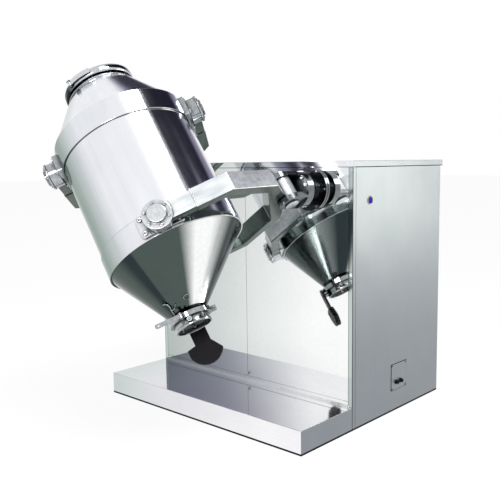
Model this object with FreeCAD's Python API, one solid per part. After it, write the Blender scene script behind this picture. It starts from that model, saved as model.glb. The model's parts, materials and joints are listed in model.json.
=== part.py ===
import FreeCAD, Part
import math
import os

V = FreeCAD.Vector

# Two-shaft tumbling mixer with a barrel of about 370 litres, hung between two forks whose shafts
# come out of a polished cabinet front. Millimetres, +Z up, +Y into the cabinet, +X to the right.
# The origin is on the floor, at the middle of the cabinet's front.

# ---- cabinet ----
CAB_D = 900.0           # depth of the cabinet
CAB_H = 1400.0          # height over the top cover
COVER_H = 30.0          # height of the top cover
COVER_OVERHANG = 25.0   # the cover stands past the rear
COVER_GAP = 3.0         # shadow line under the cover
SHEET = 3.0             # panel sheet
RETURN = 22.0           # folded edge of a panel
STRIP_H = 10.0          # rubber strip under everything
STRIP_W = 60.0          # width of that strip
TRAY_D = 425.0          # depth of the platform in front
TRAY_H = 124.0          # height of the platform
RAIL_H = 28.0           # rail shown between platform and front panels
CORNER_W = 25.0         # strips at the front corners
PANEL_GAP = 2.0         # joint between neighbouring panels
ANGLE = 50.0            # legs of the frame's steel angle
ANGLE_T = 5.0           # thickness of that angle
BEAM_T = 12.0           # plates that carry the bearing cartridges
BEAM_HALF = 120.0       # half height of those plates
BEAM_Y = 60.0           # front plate's distance from the cabinet's face

# ---- linkage ----
LINK = 620.0            # pin to trunnion axis, and between both trunnion axes
SHAFT_DROP = 144.0      # both shafts below the top of the cabinet
SHAFT_Z = CAB_H - SHAFT_DROP
PIN_REACH = 212.0       # pins in front of the cabinet's face
RUN = 0.05              # radial clearance of running pins and shafts
FACE_GAP = 0.4          # axial clearance between turning faces

# ---- barrel ----
BAR_R = 347.0           # outside radius of the cylinder
BAR_WALL = 5.0
BAR_BOTTOM = -58.0      # cylinder's lower end, from the lower trunnion axis
BAR_TOP = 684.0         # cylinder's upper end
CONE_TOP = 930.0        # top cone's small end
CONE_TOP_R = 184.0
CONE_LOW = -338.0       # bottom cone's small end
CONE_LOW_R = 92.0
OUT_X = 110.0           # the outlet stands off the barrel's axis
OUT_Y = 82.0
HOOP_T = 7.5            # thickness of both hoops
HOOP_HALF = 59.0        # half width of both hoops
HOOP_SHIFT = -3.0       # lower hoop's middle, from its trunnion axis
HOOP_RISE = 6.0         # upper hoop's middle, from its trunnion axis

# ---- mouth ----
MOUTH_R = 172.0         # neck tube's outside radius
MOUTH_WALL = 4.0
MOUTH_FL_Z = 962.0      # underside of the mouth's flange
MOUTH_FL_R = 181.0
MOUTH_FL_T = 10.0
GASKET_T = 3.0
LID_T = 10.0            # rim of the lid
LID_DOME = 16.0         # rise of the lid's middle
CLAMP_R = 190.7         # outside radius of the clamp band
CLAMP_LOW = 951.0       # lower edge of the clamp band
CLAMP_LIP = 5.0         # lip over the lid
CLAMP_LIP_W = 22.0
LEVER_W = 26.0          # clamp lever
LEVER_L = 130.0
LEVER_T = 6.0
LEVER_PIN_R = 5.0
LEVER_ANGLE = 142.0     # where the lever stands on the rim

# ---- outlet ----
NECK_R = 90.0           # outlet tube's outside radius
NECK_WALL = 4.0
FERRULE_R = 104.0
FERRULE_T = 8.0
NECK_L = 16.0           # from the cone to the ferrule's face
VALVE_L = 52.0          # length of the valve body
RIM_R = 96.0            # lower rim of the valve body
RIM_T = 12.0
STEM_R = 9.0
STEM_BOSS_R = 12.0      # it stays above the rim, so that a sleeve slides over the rim
STEM_BOSS_GAP = 0.5
STEM_BOSS_X = 117.0     # boss end, from the outlet's axis
DISC_T = 8.0
DISC_GAP = 0.5
DISC_HUB_WALL = 3.0      # round the stem, thin so that it leaves the throat free
HANDLE_T = 12.0         # handle's neck
HANDLE_GRIP_T = 30.0
HANDLE_HALF = 43.0
HANDLE_NECK_L = 96.0    # from the stem down to the grip
GRIP_L = 104.0
GRIP_HALF = 88.0
BAND_T = 8.0            # outlet clamp
LUG_ANGLE = 280.0       # its bolted lug
LATCH_ANGLE = 165.0     # pivot of its flat lever
LATCH_L = 134.0
LATCH_W = 22.0
LATCH_T = 6.0
LATCH_TURN = 21.0       # the closed lever's slant to the band's tangent
LATCH_PIN_R = 4.0
LATCH_HOLE_R = 5.0

# ---- trunnions and forks ----
PAD_RISE = 11.5         # saddle pads stand this far off the hoop
PAD_FACE = BAR_R + HOOP_T + PAD_RISE
PAD_HALF = 105.0
PAD_HEIGHT = 52.0
PAD_DEEP = 24.5         # the saddle reaches this far inside the hoop before it is cut to it
PAD_ROOT = BAR_R + HOOP_T - PAD_DEEP
PIVOT_R = 32.0
PIVOT_L = 65.0          # trunnion pin, from the pad's face
PIVOT_END = PAD_FACE + PIVOT_L
ARM_GAP = 2.0           # between the pad's face and the arm
ARM_IN = PAD_FACE + ARM_GAP
ARM_T = 52.0            # thickness of the box section
ARM_HALF = 48.0         # half height of the box section
BLOCK_IN = 444.0        # forged end block starts here
BLOCK_HALF = 44.0
HOUSING_R = 66.0
COVER_R = 70.0
COVER_T = 10.0
CAP_R = 43.0
CAP_T = 16.0
CAP_WALL = 6.0
BACK_IN = 107.0         # crossbeam's inner face, from the pin
BACK_HALF = 226.0       # where the crossbeam meets the diagonals, outside
BACK_X = 54.0
NOSE_X = 24.0           # crossbeam's middle, outside
NOSE_HALF = 80.0
CORNER_X = 262.0        # where the diagonals meet the arms, outside
HUB_R = 50.0
HUB_HALF = 51.6
WEB_HALF = 40.0

# ---- shafts ----
PIN_R = 25.0
EAR_R = 62.0
EAR_IN = 52.0
EAR_T = 28.0
PIN_HEAD_R = 36.0
PIN_HEAD_T = 8.0
BASE_R = 96.0           # clevis base and shaft flange
BASE_Y = 76.0           # clevis base, behind the pin
BASE_T = 24.0
FLANGE_T = 22.0
SHAFT_R = 45.0
SHAFT_END_R = 35.0      # journal in the gearbox
SEAL_R = 115.0
SEAL_T = 14.0
CART_R = 78.0           # bearing cartridge
CART_FL_R = 100.0
CART_FL_T = 16.0
CART_L = 190.0
SHAFT_TAIL = 18.0       # shaft past the cartridge
ROOM_LEFT = 9.0         # from a cartridge's flange to the frame's leg, on each side
ROOM_RIGHT = 141.0
SLOT_SHIFT_Y = 8.5      # the open pivot's bore stands off its pin by this much
SLOT_SHIFT_C = 7.4
SLOT_EXTRA = 15.0       # and is this much larger
OPEN_HUB_HALF = 38.0    # hub height at the open pivot
OPEN_HEAD_R = 54.0
OPEN_GAP = 11.0
OPEN_EAR_IN = 62.0
OPEN_EAR_T = 20.0

# ---- drive inside the cabinet ----
BOX_W = 230.0
BOX_D = 170.0
BOX_UP = 110.0
BOX_DOWN = 190.0
BOX_GAP = 30.0          # gearbox behind the cartridge
MOTOR_R = 95.0
MOTOR_L = 300.0
MOTOR_FL_R = 125.0
MOTOR_FL_T = 16.0
TERMINAL_HALF = 45.0    # terminal box on the motor
TERMINAL_OUT = 50.0
TERMINAL_TOP = 60.0
TERMINAL_H = 110.0
FIN_T = 5.0             # cooling fins
FIN_H = 12.0
FIN_COUNT = 16

# ---- small pieces on the panels ----
PLATE_W = 156.0         # connection plate, along Y
PLATE_H = 147.0
PLATE_T = 2.0
PLATE_Y = 456.0
PLATE_Z = 194.0
GLAND_R = 12.5
GLAND_T = 14.0
GLAND_STEP = 43.0
GLAND_SIDE = 4.5         # their middle lies off the plate's middle, to the front and down
GLAND_DROP = 31.5
PLUG_Y = 153.0
PLUG_Z = 1196.0
PLUG_HALF_W = 22.0
PLUG_HALF_H = 25.0
PLUG_T = 3.0
LOCK_X = 10.0
LOCK_Z = 172.0
LOCK_R = 9.0
LOCK_T = 6.0

R2, R3, R6 = math.sqrt(2), math.sqrt(3), math.sqrt(6)
E1 = V(-1 / R3, 1 / R2, -1 / R6)        # lower trunnion axis, away from the front
E2 = V(-1 / R3, -1 / R2, -1 / R6)       # upper trunnion axis
EU = V(-1 / R3, 0, math.sqrt(2.0 / 3))  # the barrel's axis, up to the lid
UP, BACK, RIGHT = V(0, 0, 1), V(0, 1, 0), V(1, 0, 0)

SPACING = R3 * LINK
FRAME_INSET = RETURN + 1.0
SIDE_LEFT = FRAME_INSET + ANGLE_T + CART_FL_R + ROOM_LEFT
SIDE_RIGHT = FRAME_INSET + ANGLE_T + CART_FL_R + ROOM_RIGHT
CAB_W = SPACING + SIDE_LEFT + SIDE_RIGHT        # width of the cabinet and of the platform
SHAFT_MID = (SIDE_LEFT - SIDE_RIGHT) / 2        # middle between the shafts
DRIVE_PIN = V(SHAFT_MID + SPACING / 2, -PIN_REACH, SHAFT_Z)
DRIVEN_PIN = V(SHAFT_MID - SPACING / 2, -PIN_REACH, SHAFT_Z)
LOW_AXIS = DRIVE_PIN + E2 * LINK        # crossing of the lower trunnion axis and the barrel's axis
HIGH_AXIS = LOW_AXIS + EU * LINK

nodes = {}


def add(name, shape):
    solids = shape.Solids
    if not shape.isValid() or not solids:
        raise ValueError(name + " is not a valid solid")
    nodes[name] = solids[0] if len(solids) == 1 else Part.Compound(solids)


def put(shape, origin, ex, ey, ez):
    """Moves a shape from its own axes to the given origin and axes."""
    moved = shape.copy()
    moved.Placement = FreeCAD.Placement(FreeCAD.Matrix(
        ex.x, ey.x, ez.x, origin.x, ex.y, ey.y, ez.y, origin.y,
        ex.z, ey.z, ez.z, origin.z, 0, 0, 0, 1)).multiply(shape.Placement)
    return moved


def on_barrel(shape, z=0.0):
    return put(shape, LOW_AXIS + EU * z, E1, E2, EU)


def box(x0, x1, y0, y1, z0, z1):
    return Part.makeBox(x1 - x0, y1 - y0, z1 - z0, V(x0, y0, z0))


def rod(radius, start, axis, length):
    return Part.makeCylinder(radius, length, start, axis)


def turned(points):
    """Revolves a profile of (radius, height) points about Z."""
    wire = Part.makePolygon([V(r, 0, z) for r, z in points + points[:1]])
    return Part.Face(wire).revolve(V(0, 0, 0), UP, 360)


def prism(points, z0, z1):
    wire = Part.makePolygon([V(x, y, z0) for x, y in points + points[:1]])
    return Part.Face(wire).extrude(V(0, 0, z1 - z0))


def fuse(first, *others):
    return first.multiFuse(list(others)).removeSplitter()


def spun(shape, degrees):
    moved = shape.copy()
    moved.rotate(V(0, 0, 0), UP, degrees)
    return moved


def pan(x0, x1, z0, z1, depth):
    """A folded panel that faces -Y: a sheet at y = 0 with returns that run to y = depth."""
    return box(x0, x1, 0, depth, z0, z1).cut(
        box(x0 + SHEET, x1 - SHEET, SHEET, depth + 1, z0 + SHEET, z1 - SHEET))


# ------------------------------------------------------------------ cabinet
half = CAB_W / 2
body_top = CAB_H - COVER_H - COVER_GAP
panel_low = TRAY_H + RAIL_H


def base_strip():
    outer = box(-half, half, -TRAY_D, CAB_D, 0, STRIP_H)
    front = box(-half + STRIP_W, half - STRIP_W, -TRAY_D + STRIP_W, -STRIP_W / 2, -1, STRIP_H + 1)
    rear = box(-half + STRIP_W, half - STRIP_W, STRIP_W / 2, CAB_D - STRIP_W, -1, STRIP_H + 1)
    return outer.cut(front).cut(rear)


def angle_bar(length):
    """Steel angle along X with its heel on the X axis, legs to +Y and +Z."""
    return fuse(box(0, length, 0, ANGLE, 0, ANGLE_T), box(0, length, 0, ANGLE_T, 0, ANGLE))


def cabinet_frame():
    x1, y0, y1 = half - FRAME_INSET, FRAME_INSET, CAB_D - FRAME_INSET
    z0, z1 = STRIP_H, body_top
    long_bar, side_bar = angle_bar(2 * x1), angle_bar(y1 - y0)
    post = angle_bar(z1 - z0)
    bars = []
    for y, face in ((y0, BACK), (y1, -BACK)):
        for z, lift in ((z0, UP), (z1, -UP)):
            along = face.cross(lift)
            bars.append(put(long_bar, V(-along.x * x1, y, z), along, face, lift))
    for x, face in ((x1, -RIGHT), (-x1, RIGHT)):
        for z, lift in ((z0, UP), (z1, -UP)):
            along = face.cross(lift)
            bars.append(put(side_bar, V(x, y0 if along.y > 0 else y1, z), along, face, lift))
        for y, deep in ((y0, BACK), (y1, -BACK)):
            along = face.cross(deep)
            bars.append(put(post, V(x, y, z0 if along.z > 0 else z1), along, face, deep))
    for y in (BEAM_Y, BEAM_Y + CART_FL_T + CART_L):
        plate = box(-x1, x1, y, y + BEAM_T, SHAFT_Z - BEAM_HALF, body_top - ANGLE_T - 1)
        for pin in (DRIVE_PIN, DRIVEN_PIN):
            plate = plate.cut(rod(CART_R, V(pin.x, y - 1, SHAFT_Z), BACK, BEAM_T + 2))
        bars.append(plate)
    return fuse(*bars)


def side_panel(side):
    flat = pan(CORNER_W + PANEL_GAP, CAB_D, STRIP_H, body_top, RETURN)
    if side > 0:
        return put(flat, V(half, 0, 0), BACK, -RIGHT, UP)
    mirrored = flat.mirror(V(0, 0, 0), RIGHT)
    return put(mirrored, V(-half, 0, 0), -BACK, RIGHT, UP)


def corner_strip(side):
    bar = fuse(box(-half, -half + CORNER_W, 0, SHEET, STRIP_H, body_top),
               box(-half, -half + SHEET, 0, CORNER_W, STRIP_H, body_top))
    return bar if side < 0 else bar.mirror(V(0, 0, 0), RIGHT)


def rear_panel():
    x1 = half - RETURN - PANEL_GAP
    sheet = pan(-x1, x1, STRIP_H, body_top, RETURN)
    slot_w, slot_h, pitch, rows = 220.0, 9.0, 26.0, 9
    slots = []
    for x in (-half / 2, half / 2):
        for row in range(rows):
            z = STRIP_H + 160 + row * pitch
            slots.append(box(x - slot_w / 2, x + slot_w / 2, -1, SHEET + 1, z, z + slot_h))
    sheet = sheet.cut(Part.Compound(slots))
    return put(sheet, V(0, CAB_D, 0), -RIGHT, -BACK, UP)


def front_panel(side):
    x0, x1 = PANEL_GAP / 2, half - CORNER_W - PANEL_GAP
    sheet = pan(x0, x1, panel_low + PANEL_GAP, body_top, RETURN)
    if side < 0:
        sheet = sheet.mirror(V(0, 0, 0), RIGHT)
    for pin in (DRIVE_PIN, DRIVEN_PIN):
        sheet = sheet.cut(rod(SHAFT_R + 10, V(pin.x, -1, SHAFT_Z), BACK, RETURN + 2))
    if side > 0:
        sheet = sheet.cut(rod(LOCK_R / 2 + 1, V(LOCK_X + SHEET, -1, LOCK_Z), BACK, RETURN))
    return sheet


def front_rail():
    x1 = half - CORNER_W - PANEL_GAP
    return pan(-x1, x1, STRIP_H, panel_low, RETURN)


def top_cover():
    shell = box(-half, half, 0, CAB_D + COVER_OVERHANG, CAB_H - COVER_H, CAB_H)
    return shell.cut(box(-half + SHEET, half - SHEET, SHEET, CAB_D + COVER_OVERHANG - SHEET,
                         CAB_H - COVER_H - 1, CAB_H - SHEET))


def platform_tray():
    shell = box(-half, half, -TRAY_D, -0.3, STRIP_H, TRAY_H)
    return shell.cut(box(-half + SHEET, half - SHEET, -TRAY_D + SHEET, -0.3 - SHEET,
                         STRIP_H - 1, TRAY_H - SHEET))


def connection_plate():
    plate = box(0, PLATE_T, -PLATE_W / 2, PLATE_W / 2, -PLATE_H / 2, PLATE_H / 2)
    corner = [e for e in plate.Edges if abs(e.tangentAt(e.FirstParameter).x) > 0.9]
    return plate.makeFillet(4.0, corner)


def gland():
    """Black cable gland: a hexagon foot, a round nut and the mouth for the cable."""
    flats = [(GLAND_R * math.cos(math.radians(60 * k)), GLAND_R * math.sin(math.radians(60 * k)))
             for k in range(6)]
    foot = prism(flats, 0, GLAND_T * 0.4)
    nut = rod(GLAND_R * 0.86, V(0, 0, GLAND_T * 0.4), UP, GLAND_T * 0.6)
    return fuse(foot, nut).cut(rod(GLAND_R * 0.4, V(0, 0, -1), UP, GLAND_T + 2))


def oval_plug():
    """Blank oval plug, flat on the side panel and eased at its edge."""
    oval = Part.Ellipse(V(0, PLUG_HALF_H, 0), V(PLUG_HALF_W, 0, 0), V(0, 0, 0)).toShape()
    plug = Part.Face(Part.Wire([oval])).extrude(V(0, 0, PLUG_T))
    rim = [e for e in plug.Edges if e.BoundBox.ZMin > PLUG_T / 2]
    return plug.makeChamfer(1.0, rim)


def panel_lock():
    """Quarter-turn lock of the front panels, with a square key recess."""
    side = LOCK_R * 0.55
    head = rod(LOCK_R, V(0, 0, 0), UP, LOCK_T).cut(
        box(-side, side, -side, side, LOCK_T * 0.4, LOCK_T + 1))
    stem = rod(LOCK_R / 2, V(0, 0, -SHEET - 6), UP, SHEET + 6)
    return fuse(head, stem)


add("base_strip", base_strip())
add("cabinet_frame", cabinet_frame())
add("right_panel", side_panel(1))
add("left_panel", side_panel(-1))
add("corner_strip_right", corner_strip(1))
add("corner_strip_left", corner_strip(-1))
add("rear_panel", rear_panel())
add("front_panel_right", front_panel(1))
add("front_panel_left", front_panel(-1))
add("front_rail", front_rail())
add("top_cover", top_cover())
add("platform_tray", platform_tray())
add("connection_plate", put(connection_plate(), V(half, PLATE_Y, PLATE_Z), RIGHT, BACK, UP))
for name, shift in (("cable_gland_lower", -0.5), ("cable_gland_upper", 0.5)):
    spot = V(half + PLATE_T, PLATE_Y - GLAND_SIDE + shift * GLAND_STEP, PLATE_Z - GLAND_DROP)
    add(name, put(gland(), spot, BACK, UP, RIGHT))
add("oval_plug", put(oval_plug(), V(half, PLUG_Y, PLUG_Z), BACK, UP, RIGHT))
add("panel_lock", put(panel_lock(), V(LOCK_X + SHEET, -0.3, LOCK_Z), RIGHT, UP, -BACK))


# ------------------------------------------------------------------ barrel
def barrel_cylinder():
    return turned([(BAR_R - BAR_WALL, BAR_BOTTOM), (BAR_R, BAR_BOTTOM),
                   (BAR_R, BAR_TOP), (BAR_R - BAR_WALL, BAR_TOP)])


def barrel_top_cone():
    return turned([(BAR_R - BAR_WALL, BAR_TOP), (BAR_R, BAR_TOP),
                   (CONE_TOP_R, CONE_TOP), (CONE_TOP_R - BAR_WALL, CONE_TOP)])


def barrel_bottom_cone():
    """Leaning cone: its small end stands off the barrel's axis."""
    def skin(inset):
        big = Part.makeCircle(BAR_R - inset, V(0, 0, BAR_BOTTOM), UP)
        small = Part.makeCircle(CONE_LOW_R - inset, V(OUT_X, OUT_Y, CONE_LOW), UP)
        return Part.makeLoft([Part.Wire(big), Part.Wire(small)], True, True)
    return skin(0).cut(skin(BAR_WALL))


def hoop(middle):
    return turned([(BAR_R, middle - HOOP_HALF), (BAR_R + HOOP_T, middle - HOOP_HALF),
                   (BAR_R + HOOP_T, middle + HOOP_HALF), (BAR_R, middle + HOOP_HALF)])


def trunnion():
    """Saddle pad with its pivot pin, standing on the hoop at +X."""
    pad = box(PAD_ROOT, PAD_FACE, -PAD_HALF, PAD_HALF, -PAD_HEIGHT, PAD_HEIGHT)
    corners = [e for e in pad.Edges if abs(e.tangentAt(e.FirstParameter).x) > 0.9]
    pad = pad.makeFillet(14.0, corners)
    pad = pad.cut(rod(BAR_R + HOOP_T, V(0, 0, -PAD_HEIGHT - 1), UP, 2 * PAD_HEIGHT + 2))
    pin = rod(PIVOT_R, V(PAD_FACE - 2, 0, 0), RIGHT, PIVOT_END - PAD_FACE + 2)
    pin = pin.makeChamfer(3.0, [e for e in pin.Edges if abs(e.CenterOfMass.x - PIVOT_END) < 1
                                and e.Curve.TypeId == "Part::GeomCircle"])
    return fuse(pad, pin)


def mouth_flange():
    inner = MOUTH_R - MOUTH_WALL
    top = MOUTH_FL_Z + MOUTH_FL_T
    return turned([(inner, CONE_TOP), (CONE_TOP_R, CONE_TOP), (CONE_TOP_R, CONE_TOP + 4),
                   (MOUTH_R, CONE_TOP + 4), (MOUTH_R, MOUTH_FL_Z), (MOUTH_FL_R, MOUTH_FL_Z),
                   (MOUTH_FL_R, top), (inner, top)])


def outlet_neck():
    inner = NECK_R - NECK_WALL
    low = CONE_LOW - NECK_L
    return turned([(inner, CONE_LOW), (CONE_LOW_R, CONE_LOW), (CONE_LOW_R, CONE_LOW - 3),
                   (NECK_R, CONE_LOW - 3), (NECK_R, low + FERRULE_T), (FERRULE_R, low + FERRULE_T),
                   (FERRULE_R, low), (inner, low)])


LATCH_X = FERRULE_R + BAND_T + 11.0
valve_top = CONE_LOW - NECK_L
stem_z = valve_top - VALVE_L + RIM_T + STEM_BOSS_R + STEM_BOSS_GAP
bore_r = NECK_R - NECK_WALL


def valve_body():
    low = valve_top - VALVE_L
    ring = turned([(bore_r, valve_top), (FERRULE_R, valve_top), (FERRULE_R, valve_top - FERRULE_T),
                   (NECK_R + 2, valve_top - FERRULE_T), (NECK_R + 2, low + RIM_T),
                   (RIM_R, low + RIM_T), (RIM_R, low), (bore_r, low)])
    boss = rod(STEM_BOSS_R, V(-STEM_BOSS_X, 0, stem_z), RIGHT, 2 * STEM_BOSS_X)
    boss = boss.cut(rod(bore_r + 1, V(0, 0, stem_z - 30), UP, 60))
    ring = fuse(ring, boss)
    return ring.cut(rod(STEM_R + RUN, V(-STEM_BOSS_X - 1, 0, stem_z), RIGHT, 2 * STEM_BOSS_X + 2))


def valve_disc():
    disc = rod(bore_r - DISC_GAP, V(0, 0, stem_z - DISC_T / 2), UP, DISC_T)
    end = STEM_BOSS_X + HANDLE_T + 4
    stem = rod(STEM_R, V(-STEM_BOSS_X - 4, 0, stem_z), RIGHT, STEM_BOSS_X + 4 + end)
    hub = rod(STEM_R + DISC_HUB_WALL, V(-bore_r * 0.8, 0, stem_z), RIGHT, bore_r * 1.6)
    return fuse(disc, stem, hub)


def valve_handle():
    """Black handle on the stem's far end: a flat neck and a broad flared grip."""
    gap = 0.5
    x0 = STEM_BOSS_X + gap
    neck = box(x0, x0 + HANDLE_T, -HANDLE_HALF, HANDLE_HALF, -HANDLE_NECK_L, 20)
    top = rod(HANDLE_HALF, V(x0, 0, 0), RIGHT, HANDLE_T)
    low = -HANDLE_NECK_L
    outline = [V(0, -HANDLE_HALF, low + 8), V(0, HANDLE_HALF, low + 8), V(0, GRIP_HALF, low),
               V(0, GRIP_HALF, low - GRIP_L * 0.38)]
    edges = [Part.LineSegment(a, b).toShape() for a, b in zip(outline, outline[1:])]
    edges.append(Part.Arc(outline[-1], V(0, GRIP_HALF * 0.12, low - GRIP_L),
                          V(0, -GRIP_HALF * 0.95, low - GRIP_L * 0.5)).toShape())
    edges.append(Part.LineSegment(V(0, -GRIP_HALF * 0.95, low - GRIP_L * 0.5), outline[0]).toShape())
    grip = Part.Face(Part.Wire(edges)).extrude(V(HANDLE_GRIP_T, 0, 0))
    grip.translate(V(x0 + (HANDLE_T - HANDLE_GRIP_T) / 2, 0, 0))
    solid = fuse(neck, top, grip)
    solid.translate(V(0, 0, stem_z))
    return solid.cut(rod(STEM_R, V(x0 - 1, 0, stem_z), RIGHT, 2 * HANDLE_GRIP_T))


def outlet_clamp():
    """Two-bolt band round both ferrules of the outlet."""
    top, low = valve_top + FERRULE_T + BAND_T / 2, valve_top - FERRULE_T - BAND_T / 2
    ring = turned([(NECK_R + 3, low), (FERRULE_R + BAND_T, low), (FERRULE_R + BAND_T, top),
                   (NECK_R + 3, top), (NECK_R + 3, valve_top + FERRULE_T),
                   (FERRULE_R, valve_top + FERRULE_T), (FERRULE_R, valve_top - FERRULE_T),
                   (NECK_R + 3, valve_top - FERRULE_T)])
    edge = FERRULE_R + BAND_T
    lug = box(edge - 2, edge + 26, -15, 15, low, top).cut(box(edge, edge + 27, -2, 2, low - 1, top + 1))
    bolt = rod(5, V(edge + 14, -24, valve_top), BACK, 48)
    ears = [box(edge - 2, LATCH_X + 7, -7, 7, z, z + 4)
            for z in (valve_top - LATCH_W / 2 - 4.4, valve_top + LATCH_W / 2 + 0.4)]
    pin = rod(LATCH_PIN_R, V(LATCH_X, 0, valve_top - LATCH_W / 2 - 6), UP, LATCH_W + 12)
    pieces = [spun(piece, LUG_ANGLE) for piece in (lug, bolt)]
    pieces += [spun(piece, LATCH_ANGLE) for piece in ears + [pin]]
    return fuse(ring, *pieces)


def outlet_lever():
    """Flat lever of the outlet clamp, with a hole at its free end."""
    z0 = valve_top - LATCH_W / 2
    bar = box(-LATCH_T / 2, LATCH_T / 2, -LATCH_L, 0, z0, z0 + LATCH_W)
    ends = [e for e in bar.Edges if abs(e.tangentAt(e.FirstParameter).x) > 0.9
            and e.CenterOfMass.y < -1]
    bar = bar.makeFillet(LATCH_W * 0.4, ends)
    bar = bar.cut(rod(LATCH_HOLE_R, V(-LATCH_T, 18 - LATCH_L, valve_top), RIGHT, 2 * LATCH_T))
    eye = rod(LATCH_PIN_R + 4, V(0, 0, z0), UP, LATCH_W)
    bar = fuse(bar, eye).cut(rod(LATCH_PIN_R + RUN, V(0, 0, z0 - 1), UP, LATCH_W + 2))
    bar.rotate(V(0, 0, 0), UP, LATCH_TURN)
    bar.translate(V(LATCH_X, 0, 0))
    return spun(bar, LATCH_ANGLE)


lid_z = MOUTH_FL_Z + MOUTH_FL_T + GASKET_T
clamp_top = lid_z + LID_T + CLAMP_LIP + 0.3


def lid():
    """Dished lid: a flat rim and a low dome of even wall."""
    rim = MOUTH_R - 12
    return turned([(0, lid_z + LID_DOME), (rim - 20, lid_z + 4), (rim, lid_z), (MOUTH_FL_R, lid_z),
                   (MOUTH_FL_R, lid_z + LID_T), (rim, lid_z + LID_T),
                   (rim - 22, lid_z + LID_T + 2), (0, lid_z + LID_T + LID_DOME)])


def lid_gasket():
    low = MOUTH_FL_Z + MOUTH_FL_T
    return turned([(MOUTH_R - MOUTH_WALL, low), (MOUTH_FL_R - 1, low), (MOUTH_FL_R - 1, lid_z),
                   (MOUTH_R - MOUTH_WALL, lid_z)])


def mouth_clamp():
    """Clamp band round the mouth, with the two ears of its lever."""
    inner = MOUTH_FL_R + 0.5
    ring = turned([(inner, CLAMP_LOW), (CLAMP_R, CLAMP_LOW), (CLAMP_R, clamp_top),
                   (MOUTH_FL_R - CLAMP_LIP_W, clamp_top), (MOUTH_FL_R - CLAMP_LIP_W, lid_z + LID_T + 0.3),
                   (inner, lid_z + LID_T + 0.3)])
    ears = []
    middle = (CLAMP_LOW + clamp_top) / 2
    for z in (middle - LEVER_W / 2 - 6.4, middle + LEVER_W / 2 + 0.4):
        ear = box(CLAMP_R - 1, CLAMP_R + 20, -10, 10, z, z + 6)
        ears.append(ear)
    pin = rod(LEVER_PIN_R, V(CLAMP_R + 11, 0, middle - LEVER_W / 2 - 8), UP, LEVER_W + 16)
    solid = fuse(ring, *ears, pin)
    solid.rotate(V(0, 0, 0), UP, LEVER_ANGLE)
    return solid


def clamp_lever():
    """Over-centre lever that lies along the band."""
    middle = (CLAMP_LOW + clamp_top) / 2
    x = CLAMP_R + 11
    eye = rod(8.5, V(x, 0, middle - LEVER_W / 2), UP, LEVER_W)
    bow = CLAMP_R + 8
    outer = rod(bow + LEVER_T, V(0, 0, middle - LEVER_W / 2), UP, LEVER_W)
    arc = outer.cut(rod(bow, V(0, 0, middle - LEVER_W / 2 - 1), UP, LEVER_W + 2))
    sweep = math.degrees(LEVER_L / bow)
    wedge = Part.makeCylinder(bow + 40, LEVER_W + 2, V(0, 0, middle - LEVER_W / 2 - 1), UP, sweep)
    solid = fuse(eye, arc.common(wedge)).cut(
        rod(LEVER_PIN_R + RUN, V(x, 0, middle - LEVER_W), UP, 2 * LEVER_W))
    solid.rotate(V(0, 0, 0), UP, LEVER_ANGLE)
    return solid


def at_outlet(shape):
    moved = shape.copy()
    moved.translate(V(OUT_X, OUT_Y, 0))
    return on_barrel(moved)


add("barrel_cylinder", on_barrel(barrel_cylinder()))
add("barrel_top_cone", on_barrel(barrel_top_cone()))
add("barrel_bottom_cone", on_barrel(barrel_bottom_cone()))
add("lower_hoop", on_barrel(hoop(HOOP_SHIFT)))
add("upper_hoop", on_barrel(hoop(LINK + HOOP_RISE)))
add("trunnion_lower_far", on_barrel(trunnion()))
add("trunnion_lower_near", on_barrel(spun(trunnion(), 180)))
add("trunnion_upper_left", on_barrel(spun(trunnion(), 90), LINK))
add("trunnion_upper_right", on_barrel(spun(trunnion(), 270), LINK))
add("mouth_flange", on_barrel(mouth_flange()))
add("outlet_neck", at_outlet(outlet_neck()))
add("valve_body", at_outlet(valve_body()))
add("outlet_clamp", at_outlet(outlet_clamp()))
add("outlet_lever", at_outlet(outlet_lever()))
add("valve_disc", at_outlet(valve_disc()))
add("valve_handle", at_outlet(valve_handle()))
add("lid", on_barrel(lid()))
add("lid_gasket", on_barrel(lid_gasket()))
add("mouth_clamp", on_barrel(mouth_clamp()))
add("clamp_lever", on_barrel(clamp_lever()))


# ------------------------------------------------------------------ forks
# A fork lies in its own axes: X from the pin to the trunnion axis, Y along that axis, Z along the pin.
arm_out = ARM_IN + ARM_T


def fork(hub_half):
    """Bent box-section fork with its hub: crossbeam, two diagonals and two arms."""
    outer = [(NOSE_X, NOSE_HALF), (BACK_X, BACK_HALF), (CORNER_X, arm_out), (BLOCK_IN, arm_out)]
    inner_corner = CORNER_X + ARM_T * 0.45
    inner_back = BACK_HALF - ARM_T * 0.7
    inner = [(BLOCK_IN, ARM_IN), (inner_corner, ARM_IN), (BACK_IN, inner_back)]
    half_outline = outer + inner
    outline = half_outline + [(x, -y) for x, y in reversed(half_outline)]
    frame = prism(outline, -ARM_HALF, ARM_HALF)
    blocks = []
    for side in (1, -1):
        y0, y1 = sorted((side * (ARM_IN + 2), side * (arm_out - 2)))
        block = box(BLOCK_IN - 1, LINK, y0, y1, -BLOCK_HALF, BLOCK_HALF)
        blocks.append(block.cut(rod(HOUSING_R, V(LINK, y0 - 1, 0), BACK, y1 - y0 + 2)))
    hub = rod(HUB_R, V(0, 0, -hub_half), UP, 2 * hub_half)
    web = box(0, NOSE_X + 30, -HUB_R * 0.9, HUB_R * 0.9, -min(WEB_HALF, hub_half - 6),
              min(WEB_HALF, hub_half - 6))
    return fuse(frame, hub, web, *blocks)


def housing():
    """Bearing housing at the end of an arm, at +Y."""
    body = rod(HOUSING_R, V(LINK, ARM_IN, 0), BACK, ARM_T)
    return body.cut(rod(PIVOT_R + RUN, V(LINK, ARM_IN - 1, 0), BACK, ARM_T + 2))


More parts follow.
